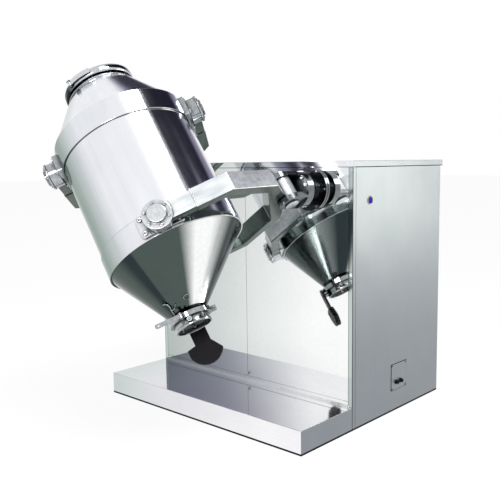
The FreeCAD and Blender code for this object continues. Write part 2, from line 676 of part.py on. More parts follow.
def end_cover():
    """Turned cover on a housing: a bolted flange and a raised cap over the pin's end."""
    body = turned([(0, CAP_T + COVER_T), (CAP_R - 3, CAP_T + COVER_T), (CAP_R, CAP_T + COVER_T - 3),
                   (CAP_R, COVER_T), (COVER_R - 2, COVER_T), (COVER_R, COVER_T - 2), (COVER_R, 0),
                   (PIVOT_R + 3, 0), (PIVOT_R + 3, CAP_T + COVER_T - CAP_WALL),
                   (0, CAP_T + COVER_T - CAP_WALL)])
    return put(body, V(LINK, arm_out, 0), UP, RIGHT, BACK)


def add_fork(prefix, origin, ex, ey, ez, names, hub_half, hub_bore):
    reach = max(hub_half, ARM_HALF) + 1
    shape = fork(hub_half).cut(rod(hub_bore, V(0, 0, -reach), UP, 2 * reach))
    add(prefix + "_fork", put(shape, origin, ex, ey, ez))
    for side, name in zip((1, -1), names):
        for piece, make in (("housing", housing), ("cover", end_cover)):
            shape = make() if side > 0 else make().mirror(V(0, 0, 0), BACK)
            add(prefix + "_" + piece + "_" + name, put(shape, origin, ex, ey, ez))


add_fork("drive", DRIVE_PIN, E2, E1, -EU, ("far", "near"), HUB_HALF, PIN_R + RUN)
add_fork("driven", DRIVEN_PIN, -E1, E2, -EU, ("left", "right"), OPEN_HUB_HALF, PIN_R)


# ------------------------------------------------------------------ shafts
# A shaft lies in its own axes: Z along the pin, Y back along the shaft, X across both.

def clevis(ear_in, ear_t, bore, shift_y, shift_c):
    """Two ears on a round base, turned from one billet, for the pin of a fork."""
    billet = rod(BASE_R, V(0, -EAR_R, 0), BACK, EAR_R + BASE_Y + 2)
    ears = []
    for z in (ear_in, -ear_in - ear_t):
        plate = fuse(rod(EAR_R, V(0, 0, z), UP, ear_t), box(-EAR_R, EAR_R, 0, BASE_Y + 2, z, z + ear_t))
        plate = plate.cut(rod(bore, V(shift_c, shift_y, z - 1), UP, ear_t + 2))
        ears.append(plate.common(billet))
    base = rod(BASE_R, V(0, BASE_Y, 0), BACK, BASE_T)
    return fuse(base, *ears)


def shaft(tail, end_radius, end_length):
    """Flanged shaft through the panel and the bearing cartridge."""
    start = BASE_Y + BASE_T
    flange = rod(BASE_R, V(0, start, 0), BACK, FLANGE_T)
    length = PIN_REACH + tail - start - FLANGE_T
    body = rod(SHAFT_R, V(0, start + FLANGE_T, 0), BACK, length)
    pieces = [flange, body]
    if end_length:
        pieces.append(rod(end_radius, V(0, PIN_REACH + tail, 0), BACK, end_length))
    return fuse(*pieces)


def pin_bolt(reach, head_radius):
    """Pin with a retaining disc at each end."""
    body = rod(PIN_R, V(0, 0, -reach), UP, 2 * reach)
    heads = [rod(head_radius, V(0, 0, z), UP, PIN_HEAD_T) for z in (reach, -reach - PIN_HEAD_T)]
    return fuse(body, *heads)


cart_y = BEAM_Y - CART_FL_T
cart_end = cart_y + CART_FL_T + BEAM_T + CART_L
gearbox_y = cart_end + BOX_GAP
tail = cart_end + SHAFT_TAIL


def seal_flange():
    ring = rod(SEAL_R, V(0, PIN_REACH - SEAL_T, 0), BACK, SEAL_T)
    lip = rod(SHAFT_R + 14, V(0, PIN_REACH - SEAL_T - 10, 0), BACK, 12)
    ring = fuse(ring, lip)
    return ring.cut(rod(SHAFT_R + 2 * FACE_GAP, V(0, PIN_REACH - SEAL_T - 12, 0), BACK, SEAL_T + 20))


def cartridge():
    """Bearing cartridge that bolts to the front beam and passes through both beams."""
    flange = rod(CART_FL_R, V(0, PIN_REACH + cart_y, 0), BACK, CART_FL_T)
    body = rod(CART_R, V(0, PIN_REACH + cart_y, 0), BACK, cart_end - cart_y)
    return fuse(flange, body).cut(
        rod(SHAFT_R + RUN, V(0, PIN_REACH + cart_y - 1, 0), BACK, cart_end - cart_y + 2))


def worm_gearbox():
    """Hollow-shaft worm gearbox with the motor's flange underneath."""
    y0 = PIN_REACH + gearbox_y
    case = box(-BOX_W / 2, BOX_W / 2, y0, y0 + BOX_D, -BOX_DOWN, BOX_UP)
    edges = [e for e in case.Edges if abs(e.tangentAt(e.FirstParameter).y) > 0.9]
    case = case.makeFillet(28.0, edges)
    collar = rod(CART_R, V(0, y0 - 6, 0), BACK, BOX_D + 12)
    foot = rod(MOTOR_FL_R, V(0, y0 + BOX_D / 2, -BOX_DOWN - MOTOR_FL_T), UP, MOTOR_FL_T)
    case = fuse(case, collar, foot)
    return case.cut(rod(SHAFT_END_R + RUN, V(0, y0 - 10, 0), BACK, BOX_D + 20))


def motor():
    y = PIN_REACH + gearbox_y + BOX_D / 2
    top = -BOX_DOWN - MOTOR_FL_T
    flange = rod(MOTOR_FL_R, V(0, y, top - MOTOR_FL_T), UP, MOTOR_FL_T)
    body = rod(MOTOR_R, V(0, y, top - MOTOR_L), UP, MOTOR_L)
    fins = []
    for k in range(FIN_COUNT):
        fin = box(MOTOR_R - 2, MOTOR_R + FIN_H, -FIN_T / 2, FIN_T / 2,
                  top - MOTOR_L + TERMINAL_TOP, top - MOTOR_FL_T)
        fin.rotate(V(0, 0, 0), UP, k * 360.0 / FIN_COUNT)
        fin.translate(V(0, y, 0))
        fins.append(fin)
    terminals = box(MOTOR_R - 5, MOTOR_R + TERMINAL_OUT, y - TERMINAL_HALF, y + TERMINAL_HALF,
                    top - TERMINAL_TOP - TERMINAL_H, top - TERMINAL_TOP)
    return fuse(flange, body, terminals, *fins)


def on_shaft(shape, pin, ez=EU):
    """Pieces that line up with the clevis at rest."""
    return put(shape, pin, BACK.cross(ez), BACK, ez)


def upright(shape, pin):
    return put(shape, pin, RIGHT, BACK, UP)


add("drive_clevis", on_shaft(clevis(EAR_IN, EAR_T, PIN_R, 0, 0), DRIVE_PIN))
add("drive_pin", on_shaft(pin_bolt(EAR_IN + EAR_T, PIN_HEAD_R), DRIVE_PIN))
add("drive_shaft", upright(shaft(tail, SHAFT_END_R, BOX_GAP + BOX_D - SHAFT_TAIL + 10), DRIVE_PIN))
add("driven_clevis", on_shaft(
    clevis(OPEN_EAR_IN, OPEN_EAR_T, PIN_R + SLOT_EXTRA, SLOT_SHIFT_Y, SLOT_SHIFT_C), DRIVEN_PIN))
add("driven_shaft", upright(shaft(tail, SHAFT_END_R, 0), DRIVEN_PIN))
add("driven_pin", on_shaft(pin_bolt(OPEN_EAR_IN + OPEN_EAR_T + OPEN_GAP, OPEN_HEAD_R), DRIVEN_PIN))
add("drive_seal", upright(seal_flange(), DRIVE_PIN))
add("driven_seal", upright(seal_flange(), DRIVEN_PIN))
add("drive_cartridge", upright(cartridge(), DRIVE_PIN))
add("driven_cartridge", upright(cartridge(), DRIVEN_PIN))
add("worm_gearbox", upright(worm_gearbox(), DRIVE_PIN))
add("motor", upright(motor(), DRIVE_PIN))

os.makedirs("parts", exist_ok=True)
for name, shape in nodes.items():
    shape.exportStep("parts/" + name + ".step")
    print("%-24s solids %d volume %.0f cm3" % (name, len(shape.Solids), shape.Volume / 1000))
print("nodes", len(nodes))
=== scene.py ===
import json
import math

import bmesh
import bpy
from mathutils import Matrix, Vector


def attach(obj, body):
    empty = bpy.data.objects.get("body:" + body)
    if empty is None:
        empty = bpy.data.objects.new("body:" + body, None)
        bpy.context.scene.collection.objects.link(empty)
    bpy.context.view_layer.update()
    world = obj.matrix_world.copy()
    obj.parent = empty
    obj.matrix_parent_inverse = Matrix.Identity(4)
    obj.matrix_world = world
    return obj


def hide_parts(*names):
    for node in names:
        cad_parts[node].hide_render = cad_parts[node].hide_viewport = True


# A two-shaft tumbling mixer: a polished barrel between two forks, in front of a steel cabinet.
# Shapes are drawn in millimetres in the axes of the piece that carries them, and placed in metres.

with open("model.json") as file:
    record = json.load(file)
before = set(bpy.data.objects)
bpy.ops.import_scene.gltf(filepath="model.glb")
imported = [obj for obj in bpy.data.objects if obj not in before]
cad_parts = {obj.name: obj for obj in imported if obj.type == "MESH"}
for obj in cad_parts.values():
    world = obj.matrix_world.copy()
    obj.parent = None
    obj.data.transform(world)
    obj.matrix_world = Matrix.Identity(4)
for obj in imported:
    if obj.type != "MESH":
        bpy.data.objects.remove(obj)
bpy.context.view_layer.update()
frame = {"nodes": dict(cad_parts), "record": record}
nodes = frame["nodes"]

# Driving sizes and the axes of the moving groups

# The barrel's own axes at rest: E1 along its lower trunnions, E2 along its upper ones, and EU up
# to its mouth.
ROOT2, ROOT3, ROOT6 = math.sqrt(2), math.sqrt(3), math.sqrt(6)
E1 = Vector((-1 / ROOT3, 1 / ROOT2, -1 / ROOT6))
E2 = Vector((-1 / ROOT3, -1 / ROOT2, -1 / ROOT6))
EU = Vector((-1 / ROOT3, 0, math.sqrt(2 / 3)))
UP, BACK, RIGHT = Vector((0, 0, 1)), Vector((0, 1, 0)), Vector((1, 0, 0))

# The mechanism's link length and the distance between its shafts. The pins of the forks stand
# level, PIN_REACH in front of the cabinet, on both sides of MIDDLE_X.
LINK = 620.0
SPACING = ROOT3 * LINK
MIDDLE_X, PIN_REACH, PIN_Z = -66.0, 212.0, 1256.0
DRIVE_PIN = Vector((MIDDLE_X + SPACING / 2, -PIN_REACH, PIN_Z))
DRIVEN_PIN = Vector((MIDDLE_X - SPACING / 2, -PIN_REACH, PIN_Z))
LOW_AXIS = DRIVE_PIN + E2 * LINK

# The barrel's cylinder and cones. The lower cone leans: each ring is shifted towards the outlet
# by its depth.
BAR_R, BAR_WALL, BAR_LOW, BAR_TOP = 347.0, 5.0, -58.0, 684.0
CONE_TOP, CONE_TOP_R, CONE_LOW, CONE_LOW_R = 930.0, 184.0, -338.0, 92.0
OUT_X, OUT_Y = 110.0, 82.0
LEAN_X, LEAN_Y = OUT_X / (BAR_LOW - CONE_LOW), OUT_Y / (BAR_LOW - CONE_LOW)

ROW = Matrix.Scale(0.001, 4)


def axes(origin, ex, ey, ez):
    """Matrix from a group's own millimetres to metres in the row frame."""
    turn = Matrix((ex, ey, ez)).transposed().to_4x4()
    return ROW @ Matrix.Translation(origin) @ turn


BARREL = axes(LOW_AXIS, E1, E2, EU)
OUTLET = BARREL @ Matrix.Translation((OUT_X, OUT_Y, 0))
DRIVE_FORK = axes(DRIVE_PIN, E2, E1, -EU)
DRIVEN_FORK = axes(DRIVEN_PIN, -E1, E2, -EU)
DRIVE_CLEVIS = axes(DRIVE_PIN, BACK.cross(EU), BACK, EU)
DRIVEN_CLEVIS = axes(DRIVEN_PIN, BACK.cross(EU), BACK, EU)
DRIVE_SHAFT = axes(DRIVE_PIN, RIGHT, BACK, UP)
DRIVEN_SHAFT = axes(DRIVEN_PIN, RIGHT, BACK, UP)

# Material helpers

WHITE = (1, 1, 1, 1)
# Between these two values of a noise run a finish's two colours and its spread of gloss.
NOISE_LOW, NOISE_HIGH = 0.3, 0.7
# Cloudy patches of 20 cm and a sheet's slow unevenness of 45 cm, as a stretch per metre.
CLOUD, UNEVEN = (5, 5, 5), (2.2, 2.2, 2.2)
CLOUD_SHARE = 0.45
# Painted shade in corners: its dark tone, and how open a place is where that shade is full and
# where it ends.
CORNER_SHADE_TONE, CORNER_SHADE_FULL, CORNER_SHADE_ENDS = "#23262A", 0.45, 0.9
# Roughness of coarse scratches, and how far a coat's roughness varies.
HAZE_ROUGHNESS, COAT_SPREAD = 0.6, 0.06


def linear(code):
    """sRGB hex to linear RGBA."""
    parts = [int(code[i:i + 2], 16) / 255 for i in (1, 3, 5)]
    return tuple(c / 12.92 if c <= 0.04045 else ((c + 0.055) / 1.055) ** 2.4 for c in parts) + (1,)


def node(tree, kind, inputs=(), stops=(), **settings):
    """Adds a node. An input is a value or another node's output socket, and the stops of a colour
    ramp are (position, colour) pairs."""
    made = tree.nodes.new(kind)
    for key, value in settings.items():
        setattr(made, key, value)
    for name, value in dict(inputs).items():
        socket = made.inputs[name]
        if isinstance(name, str) and not socket.enabled:
            socket = next(s for s in made.inputs if s.name == name and s.enabled)
        if isinstance(value, bpy.types.NodeSocket):
            tree.links.new(value, socket)
        else:
            socket.default_value = value
    if stops:
        line = made.color_ramp.elements
        line.remove(line[1])
        line[0].position, line[0].color = stops[0]
        for place, colour in stops[1:]:
            line.new(place).color = colour
    return made


def new_material(name):
    """An empty material and its node tree."""
    made = bpy.data.materials.new(name)
    made.use_nodes = True
    made.node_tree.nodes.clear()
    return made, made.node_tree


def shown_rays(tree):
    """1 for the rays that see the background as it is shown, and not as it lights the object:
    those from the camera, and those that polished or clear surfaces send on."""
    path = node(tree, "ShaderNodeLightPath")
    seen = node(tree, "ShaderNodeMath", {0: path.outputs["Is Camera Ray"],
                                         1: path.outputs["Is Glossy Ray"]}, operation="MAXIMUM")
    return node(tree, "ShaderNodeMath", {0: seen.outputs[0],
                                         1: path.outputs["Is Transmission Ray"]},
                operation="MAXIMUM").outputs[0]


def own_axes(tree, where, stretch):
    """Object coordinates turned into a group's own axes, then stretched per metre."""
    at = node(tree, "ShaderNodeTexCoord").outputs["Object"]
    turn = where.to_quaternion().to_matrix().to_4x4().inverted()
    shift = turn @ where.to_translation()
    own = node(tree, "ShaderNodeMapping", {"Vector": at, "Rotation": turn.to_euler(),
                                           "Location": -shift})
    return node(tree, "ShaderNodeMapping", {"Vector": own.outputs["Vector"],
                                            "Scale": stretch}).outputs["Vector"]


def band_tone(tree, where, bands, lean, top):
    """Tone by the angle round a group's Z axis, from (degrees, hex) pairs. On a leaning cone the
    bands follow its sides: lean is its sideways shift per metre below top."""
    part = node(tree, "ShaderNodeSeparateXYZ", {"Vector": own_axes(tree, where, (1, 1, 1))})
    below = node(tree, "ShaderNodeMath", {0: top, 1: part.outputs["Z"]}, operation="SUBTRACT")
    straight = []
    for axis, shift in zip("XY", lean):
        back = node(tree, "ShaderNodeMath", {0: below.outputs[0], 1: -shift,
                                             2: part.outputs[axis]}, operation="MULTIPLY_ADD")
        straight.append(back.outputs[0])
    flat = node(tree, "ShaderNodeCombineXYZ", {"X": straight[0], "Y": straight[1]})
    angle = node(tree, "ShaderNodeTexGradient", {"Vector": flat.outputs["Vector"]},
                 gradient_type="RADIAL")
    stops = [((degrees + 180) / 360, linear(tone)) for degrees, tone in bands]
    return node(tree, "ShaderNodeValToRGB", {"Fac": angle.outputs["Fac"]}, stops).outputs["Color"]


def across_tone(tree, where, across):
    """Tone along a group's X axis, from (metres, hex) pairs."""
    place = node(tree, "ShaderNodeSeparateXYZ", {"Vector": own_axes(tree, where, (1, 1, 1))})
    low, high = across[0][0], across[-1][0]
    share = node(tree, "ShaderNodeMapRange", {"Value": place.outputs["X"], "From Min": low,
                                              "From Max": high})
    stops = [((x - low) / (high - low), linear(tone)) for x, tone in across]
    return node(tree, "ShaderNodeValToRGB", {"Fac": share.outputs["Result"]},
                stops).outputs["Color"]


def steel(name, light, dark, rough, spread, where, grain, depth, wave=0.0, corner_shade=0.0,
          bands=None, lean=(0, 0), top=0.0, across=None, haze=0.0):
    """Stainless steel. grain is the stretch of its polishing lines, per metre, along the group's
    axes; depth is their height and wave the height of the sheet's slow unevenness, in metres.
    corner_shade is how far from a corner painted shade darkens the colour, and haze
    the share of the steel that coarse scratches leave satin."""
    made, tree = new_material(name)
    lines = node(tree, "ShaderNodeTexNoise", {"Vector": own_axes(tree, where, grain), "Scale": 1.0,
                                              "Detail": 3.0, "Roughness": 0.6}).outputs["Fac"]
    cloud = node(tree, "ShaderNodeTexNoise", {"Vector": own_axes(tree, where, CLOUD),
                                              "Scale": 1.0, "Detail": 2.0}).outputs["Fac"]
    mixed = node(tree, "ShaderNodeMix", {"Factor": CLOUD_SHARE, "A": lines,
                                         "B": cloud}).outputs["Result"]
    colour = node(tree, "ShaderNodeValToRGB", {"Fac": mixed}, [
        (NOISE_LOW, linear(dark)), (NOISE_HIGH, linear(light))]).outputs["Color"]
    gloss = node(tree, "ShaderNodeMapRange", {
        "Value": mixed, "From Min": NOISE_LOW, "From Max": NOISE_HIGH, "To Min": rough + spread,
        "To Max": rough - spread})
    bump = node(tree, "ShaderNodeBump", {"Height": lines, "Distance": depth, "Strength": 1.0})
    if wave:
        slow = node(tree, "ShaderNodeTexNoise", {"Vector": own_axes(tree, where, UNEVEN),
                                                 "Scale": 1.0, "Detail": 0.0}).outputs["Fac"]
        bump = node(tree, "ShaderNodeBump", {"Height": slow, "Distance": wave, "Strength": 1.0,
                                             "Normal": bump.outputs["Normal"]})
    tones = []
    # Painted shade: the colour is darkened near corners, where ambient occlusion finds the place
    # closed in.
    if corner_shade:
        corner = node(tree, "ShaderNodeAmbientOcclusion", {"Distance": corner_shade}, samples=8)
        tones.append(node(tree, "ShaderNodeValToRGB", {"Fac": corner.outputs["AO"]}, [
            (CORNER_SHADE_FULL, linear(CORNER_SHADE_TONE)), (CORNER_SHADE_ENDS, WHITE)]).outputs["Color"])
    # Tones by angle and along X paint reflections and shade into the colour.
    if bands:
        tones.append(band_tone(tree, where, bands, lean, top))
    if across:
        tones.append(across_tone(tree, where, across))
    for tone in tones:
        colour = node(tree, "ShaderNodeMix", {"Factor": 1.0, "A": colour, "B": tone},
                      data_type="RGBA", blend_type="MULTIPLY").outputs[2]
    shader = node(tree, "ShaderNodeBsdfPrincipled", {
        "Base Color": colour, "Metallic": 1.0, "Roughness": gloss.outputs["Result"],
        "Normal": bump.outputs["Normal"]})
    surface = shader.outputs["BSDF"]
    if haze:
        satin = node(tree, "ShaderNodeBsdfPrincipled", {
            "Base Color": colour, "Metallic": 1.0, "Roughness": HAZE_ROUGHNESS,
            "Normal": bump.outputs["Normal"]})
        surface = node(tree, "ShaderNodeMixShader", {"Fac": haze, 1: surface,
                                                     2: satin.outputs["BSDF"]}).outputs[0]
    node(tree, "ShaderNodeOutputMaterial", {"Surface": surface})
    return made


def plain_coat(name, light, dark, rough, size, depth, ior=1.5):
    """Paint, rubber or moulded plastic: colour and gloss vary over grains of a size in metres,
    which stand out by a depth in metres."""
    made, tree = new_material(name)
    speck = node(tree, "ShaderNodeTexNoise", {"Vector": own_axes(tree, ROW, (1 / size,) * 3),
                                              "Scale": 1.0, "Detail": 4.0}).outputs["Fac"]
    colour = node(tree, "ShaderNodeValToRGB", {"Fac": speck}, [
        (NOISE_LOW, linear(dark)), (NOISE_HIGH, linear(light))]).outputs["Color"]
    gloss = node(tree, "ShaderNodeMapRange", {
        "Value": speck, "From Min": NOISE_LOW, "From Max": NOISE_HIGH,
        "To Min": rough + COAT_SPREAD, "To Max": rough - COAT_SPREAD})
    bump = node(tree, "ShaderNodeBump", {"Height": speck, "Distance": depth, "Strength": 1.0})
    shader = node(tree, "ShaderNodeBsdfPrincipled", {
        "Base Color": colour, "Roughness": gloss.outputs["Result"], "IOR": ior,
        "Normal": bump.outputs["Normal"]})
    node(tree, "ShaderNodeOutputMaterial", {"Surface": shader.outputs["BSDF"]})
    return made


# Materials of the barrel

# Tones of painted reflection in the steel's colour, from the lightest to the darkest.
FULL, FAINT, HALF_TONE, REFLECTED_GREEN = "#FFFFFF", "#D9DEDD", "#98A19E", "#7A9483"
REFLECTED_DARK, REFLECTED_DARKEST = "#505B58", "#313A3C"
# Rolled sheet, near mirror. Bands of painted reflection run up the barrel: pale streaks, and on
# one side a darker green band.
BARREL_REFLECTION_BANDS = [(-180, FULL), (-35, FULL), (-15, FAINT), (8, FULL), (50, FULL), (86, REFLECTED_GREEN),
              (114, REFLECTED_GREEN), (150, FULL), (180, FULL)]
BARREL_POLISH = steel("barrel_polished_stainless", "#F1F2F6", "#E3E5EB", 0.15, 0.04, BARREL,
                      (30, 30, 0.7), 0.00003, corner_shade=0.011, bands=BARREL_REFLECTION_BANDS)
# The hoops are rolled bar, polished with the barrel: the same bands of painted reflection, and a
# little glossier.
HOOP_POLISH = steel("hoop_polished_stainless", "#EEEFF3", "#DFE2E8", 0.13, 0.03, BARREL,
                    (24, 24, 6), 0.00002, corner_shade=0.014, bands=BARREL_REFLECTION_BANDS)
# Rings of the mouth and outlet, polished by hand: glossy and cloudy, with painted shade in their
# corners.
MOUTH_POLISH = steel("mouth_polished_stainless", "#DDDFE3", "#BFC3C9", 0.1, 0.04, BARREL,
                     (24, 24, 24), 0.00004, corner_shade=0.016)
# The clamp band's colour has a painted dark reflection on one side.
CLAMP_REFLECTION_BANDS = [(-180, FULL), (45, FULL), (66, REFLECTED_DARKEST), (130, REFLECTED_DARKEST), (160, FULL), (180, FULL)]
BAND_POLISH = steel("clamp_band_polish", "#E6E8EA", "#A9AEB3", 0.08, 0.04, BARREL, (60, 60, 60),
                    0.00006, corner_shade=0.012, bands=CLAMP_REFLECTION_BANDS)
# Cast clamp and housing at the outlet: as glossy as the band, but grey.
OUTLET_POLISH = steel("outlet_polished_stainless", "#B9BDBE", "#83898A", 0.07, 0.03, OUTLET,
                      (50, 50, 50), 0.00005, corner_shade=0.02)
# The valve's disc sits in the outlet's hollow: its colour is darkened as painted shade, with a
# soft gloss.
VALVE_SHADED = steel("valve_painted_shade_steel", "#55595C", "#3B3F42", 0.2, 0.05, OUTLET, (50, 50, 50),
                   0.00003, corner_shade=0.02)
# The lower cone's colour carries painted reflections: dark, with light bands down to the outlet.
CONE_REFLECTION_BANDS = [(-180, REFLECTED_DARK), (-170, REFLECTED_DARK), (-155, FULL), (-139, FULL), (-114, REFLECTED_DARKEST),
              (-90, REFLECTED_DARKEST), (-62, HALF_TONE), (-40, REFLECTED_DARK), (-5, REFLECTED_DARK), (20, FULL), (32, FULL),
              (60, REFLECTED_DARK), (90, HALF_TONE), (104, REFLECTED_DARK), (128, REFLECTED_DARK), (139, REFLECTED_DARKEST),
              (147, REFLECTED_DARKEST), (148, REFLECTED_DARK), (180, REFLECTED_DARK)]
CONE_BANDED_STEEL = steel("cone_reflection_banded_stainless", "#FDFEFE", "#EDEFEE", 0.16, 0.04, BARREL,
                    (60, 60, 2), 0.00003, corner_shade=0.01, bands=CONE_REFLECTION_BANDS, lean=(LEAN_X, LEAN_Y),
                    top=BAR_LOW / 1000)
# Weld bead brushed with wire: dull, with ripples of about 5 mm.
WELD = steel("brushed_weld_bead", "#C6C9CB", "#A2A6A8", 0.3, 0.08, ROW, (190, 190, 190), 0.0003)

# Materials of the forks and shafts

# Fabricated box section, ground after welding: short scratches run along the arms, and the
# sheet is not quite flat, which bends what it reflects.
DRIVE_FORK_GROUND, DRIVEN_FORK_GROUND = [
    steel(name + "_ground_stainless", "#E9EBED", "#A4A9AD", 0.13, 0.05, where, (6, 40, 40),
          0.00004, 0.0008, corner_shade=0.03, haze=0.6)
    for name, where in (("drive_fork", DRIVE_FORK), ("driven_fork", DRIVEN_FORK))]
# The forks' undersides and inner faces get a darker copy of their steel: painted shade where light
# falls least.
FORK_SHADE = steel("fork_painted_shade", "#68736D", "#4A544F", 0.2, 0.06, ROW, (40, 40, 40), 0.00006,
                  0.0008, corner_shade=0.03)
# Turned parts: tool marks too fine to see, so only a soft change of gloss shows.
TURNED_STEEL = steel("turned_stainless", "#F0F2F4", "#C2C6CA", 0.09, 0.04, ROW, (60, 60, 60),
                     0.00002, corner_shade=0.03)
# The same steel with its colour darkened: a shaded copy of it, as painted shade.
SHADED_TURNED_STEEL = steel("shaded_turned_stainless", "#BFC3C6", "#84888D", 0.08, 0.04, ROW, (60, 60, 60),
                   0.00003, corner_shade=0.034)
# Flanges at the driving shaft's end, turned and then left to darken.
DARK_FLANGE = steel("dark_turned_flange", "#8A8D8F", "#6C7072", 0.16, 0.06, ROW, (50, 50, 50),
                    0.00003, corner_shade=0.014)

# Materials of the cabinet

# Mirror sheet on the cabinet's front: hardly any grain, a slow unevenness bends reflections.
# Its colour darkens towards the left: a painted reflection of shade.
FRONT_MIRROR = steel("front_mirror_sheet", "#FAFBFB", "#F3F5F5", 0.03, 0.01, ROW, (40, 40, 40),
                     0.000002, 0.0012,
                     across=((-0.74, "#B9C2BF"), (-0.2, "#D9DDDC"), (0.5, "#FFFFFF")))
# Satin sheet, brushed upright, in a darkened colour: a shaded copy of the cover's steel, as
# painted shade on the sides.
SHADED_SIDE_SATIN = steel("cabinet_shaded_satin_sheet", "#8D9298", "#868B91", 0.4, 0.03, ROW,
                      (300, 300, 2), 0.000015, corner_shade=0.008)
# The cover is brushed from front to back, with a wide soft sheen: lighter than the sides,
# whose colour carries painted shade.
COVER_SATIN = steel("cover_satin_sheet", "#D4D7DA", "#C9CCD0", 0.55, 0.03, ROW, (300, 2, 300),
                    0.000015)
# Polished angle down the front corners, a little green beside the mirror sheet.
STRIP_POLISH = steel("corner_strip_polish", "#C6D0CC", "#B9C4C0", 0.08, 0.02, ROW,
                     (60, 60, 2), 0.00001)
# Polished sheet of the platform: fine scratches along its length. Its colour darkens towards the
# left: a painted reflection of shade.
PLATFORM_SHEET = steel("platform_polished_sheet", "#F8F7F9", "#EDECEF", 0.07, 0.02, ROW,
                       (4, 160, 160), 0.00001, 0.0006,
                       across=((-0.74, "#D3DEDA"), (-0.3, "#F1F2F4"), (0.5, "#FFFFFF")))
# Lacquered brass: warm, with a softened gloss.
BRASS_RIM = steel("lacquered_brass", "#A8945C", "#8C7A48", 0.22, 0.05, ROW, (80, 80, 80),
                  0.00002)
# Smooth paint on steel section: an even half gloss.
FRAME_PAINT = plain_coat("grey_frame_paint", "#6B7277", "#62696E", 0.45, 0.02, 0.00005)
# Paint over castings: the sand's grain shows through as a fine roughness.
GEARBOX_PAINT = plain_coat("gearbox_casting_paint", "#5F6F7F", "#556473", 0.4, 0.006, 0.0003)
MOTOR_PAINT = plain_coat("motor_casting_paint", "#46607F", "#3E5673", 0.4, 0.006, 0.0003)
# Extruded rubber: black and nearly matt.
STRIP_RUBBER = plain_coat("black_rubber_strip", "#121318", "#0B0B0F", 0.8, 0.004, 0.0002,
                          ior=1.2)
# Moulded silicone: white, smooth and waxy.
GASKET = plain_coat("white_silicone", "#E8E8E2", "#DEDED8", 0.45, 0.01, 0.00005)
# Moulded plastic and nylon: black, with a fine grain that breaks up the highlights.
GRIP_BLACK = plain_coat("black_moulded_grip", "#141218", "#09080C", 0.5, 0.003, 0.0001,
                        ior=1.2)
GLAND_BLACK = plain_coat("black_nylon", "#0E0E14", "#08080C", 0.5, 0.003, 0.0001, ior=1.2)
# Fired enamel: deep blue and very smooth.
PLUG_BLUE = plain_coat("blue_enamel", "#08189A", "#061282", 0.35, 0.01, 0.00002, ior=1.12)

# Finishes of the CAD nodes, by the record's slot, or by the node where it has its own

FINISH = {"barrel_steel": BARREL_POLISH, "hoop_steel": HOOP_POLISH, "turned_steel": TURNED_STEEL,
          "front_polish": FRONT_MIRROR, "cabinet_satin": SHADED_SIDE_SATIN, "frame_paint": FRAME_PAINT,
          "gearbox_paint": GEARBOX_PAINT, "motor_paint": MOTOR_PAINT, "strip_rubber": STRIP_RUBBER,
          "gasket_silicone": GASKET, "black_grip": GRIP_BLACK, "gland_nylon": GLAND_BLACK,
          "plug_blue": PLUG_BLUE, "fork_steel": DRIVE_FORK_GROUND}
OWN_FINISH = {"front_rail": FRONT_MIRROR, "valve_disc": VALVE_SHADED, "clamp_lever": MOUTH_POLISH,
              "outlet_clamp": OUTLET_POLISH, "drive_clevis": DARK_FLANGE,
              "drive_seal": DARK_FLANGE, "drive_shaft": DARK_FLANGE, "outlet_lever": SHADED_TURNED_STEEL,
              "driven_clevis": SHADED_TURNED_STEEL, "driven_shaft": SHADED_TURNED_STEEL,
              "trunnion_upper_left": SHADED_TURNED_STEEL, "trunnion_upper_right": SHADED_TURNED_STEEL}

for entry in frame["record"]["subparts"]:
    finish = OWN_FINISH.get(entry["node"], FINISH[entry["material_slot"]])
    slots = nodes[entry["node"]].data.materials
    slots.clear()
    slots.append(finish)

# Mesh helpers

TOUCHING, ON_AXIS = 1e-3, 1e-6
# How far a screw's head is sunk into what it stands on.
SUNK = 1.0
# Faces that meet at fewer degrees than this are shaded as one surface.
SMOOTH_BELOW = 42
OUT_RIGHT, OUT_FRONT = (1, 0, 0), (0, -1, 0)


def turned(points, steps=96):
    """Spins a profile of (radius, height) round Z. A profile that touches the axis twice is a
    closed body, any other is joined end to end."""
    bm = bmesh.new()
    line = [bm.verts.new((r, 0, z)) for r, z in points]
    pairs = zip(line, line[1:] + line[:1])
    edges = [bm.edges.new(p) for p in pairs if p[0].co.x > ON_AXIS or p[1].co.x > ON_AXIS]
    bmesh.ops.spin(bm, geom=line + edges, cent=(0, 0, 0), axis=(0, 0, 1),
                   angle=2 * math.pi, steps=steps, use_merge=True)
    bmesh.ops.remove_doubles(bm, verts=bm.verts, dist=TOUCHING)
    bmesh.ops.recalc_face_normals(bm, faces=bm.faces)
    return bm


def slab(x0, x1, y0, y1, z0, z1):
    """A block between two corners."""
    bm = bmesh.new()
    bmesh.ops.create_cube(bm, size=1.0)
    bmesh.ops.scale(bm, vec=(x1 - x0, y1 - y0, z1 - z0), verts=bm.verts)
    bmesh.ops.translate(bm, vec=((x0 + x1) / 2, (y0 + y1) / 2, (z0 + z1) / 2), verts=bm.verts)
    return bm


def plate(points, z0, z1):
    """A flat outline, thickened along Z."""
    bm = bmesh.new()
    face = bm.faces.new([bm.verts.new((x, y, z0)) for x, y in points])
    lifted = bmesh.ops.extrude_face_region(bm, geom=[face])["geom"]
    bmesh.ops.translate(bm, vec=(0, 0, z1 - z0),
                        verts=[v for v in lifted if isinstance(v, bmesh.types.BMVert)])
    bmesh.ops.recalc_face_normals(bm, faces=bm.faces)
    return bm


def bevelled(bm, edges, width, segments):
    """Rounds the given edges."""
    bmesh.ops.bevel(bm, geom=edges, offset=width, offset_type="OFFSET", affect="EDGES",
                    segments=segments, profile=0.5, material=-1, clamp_overlap=True)
    return bm


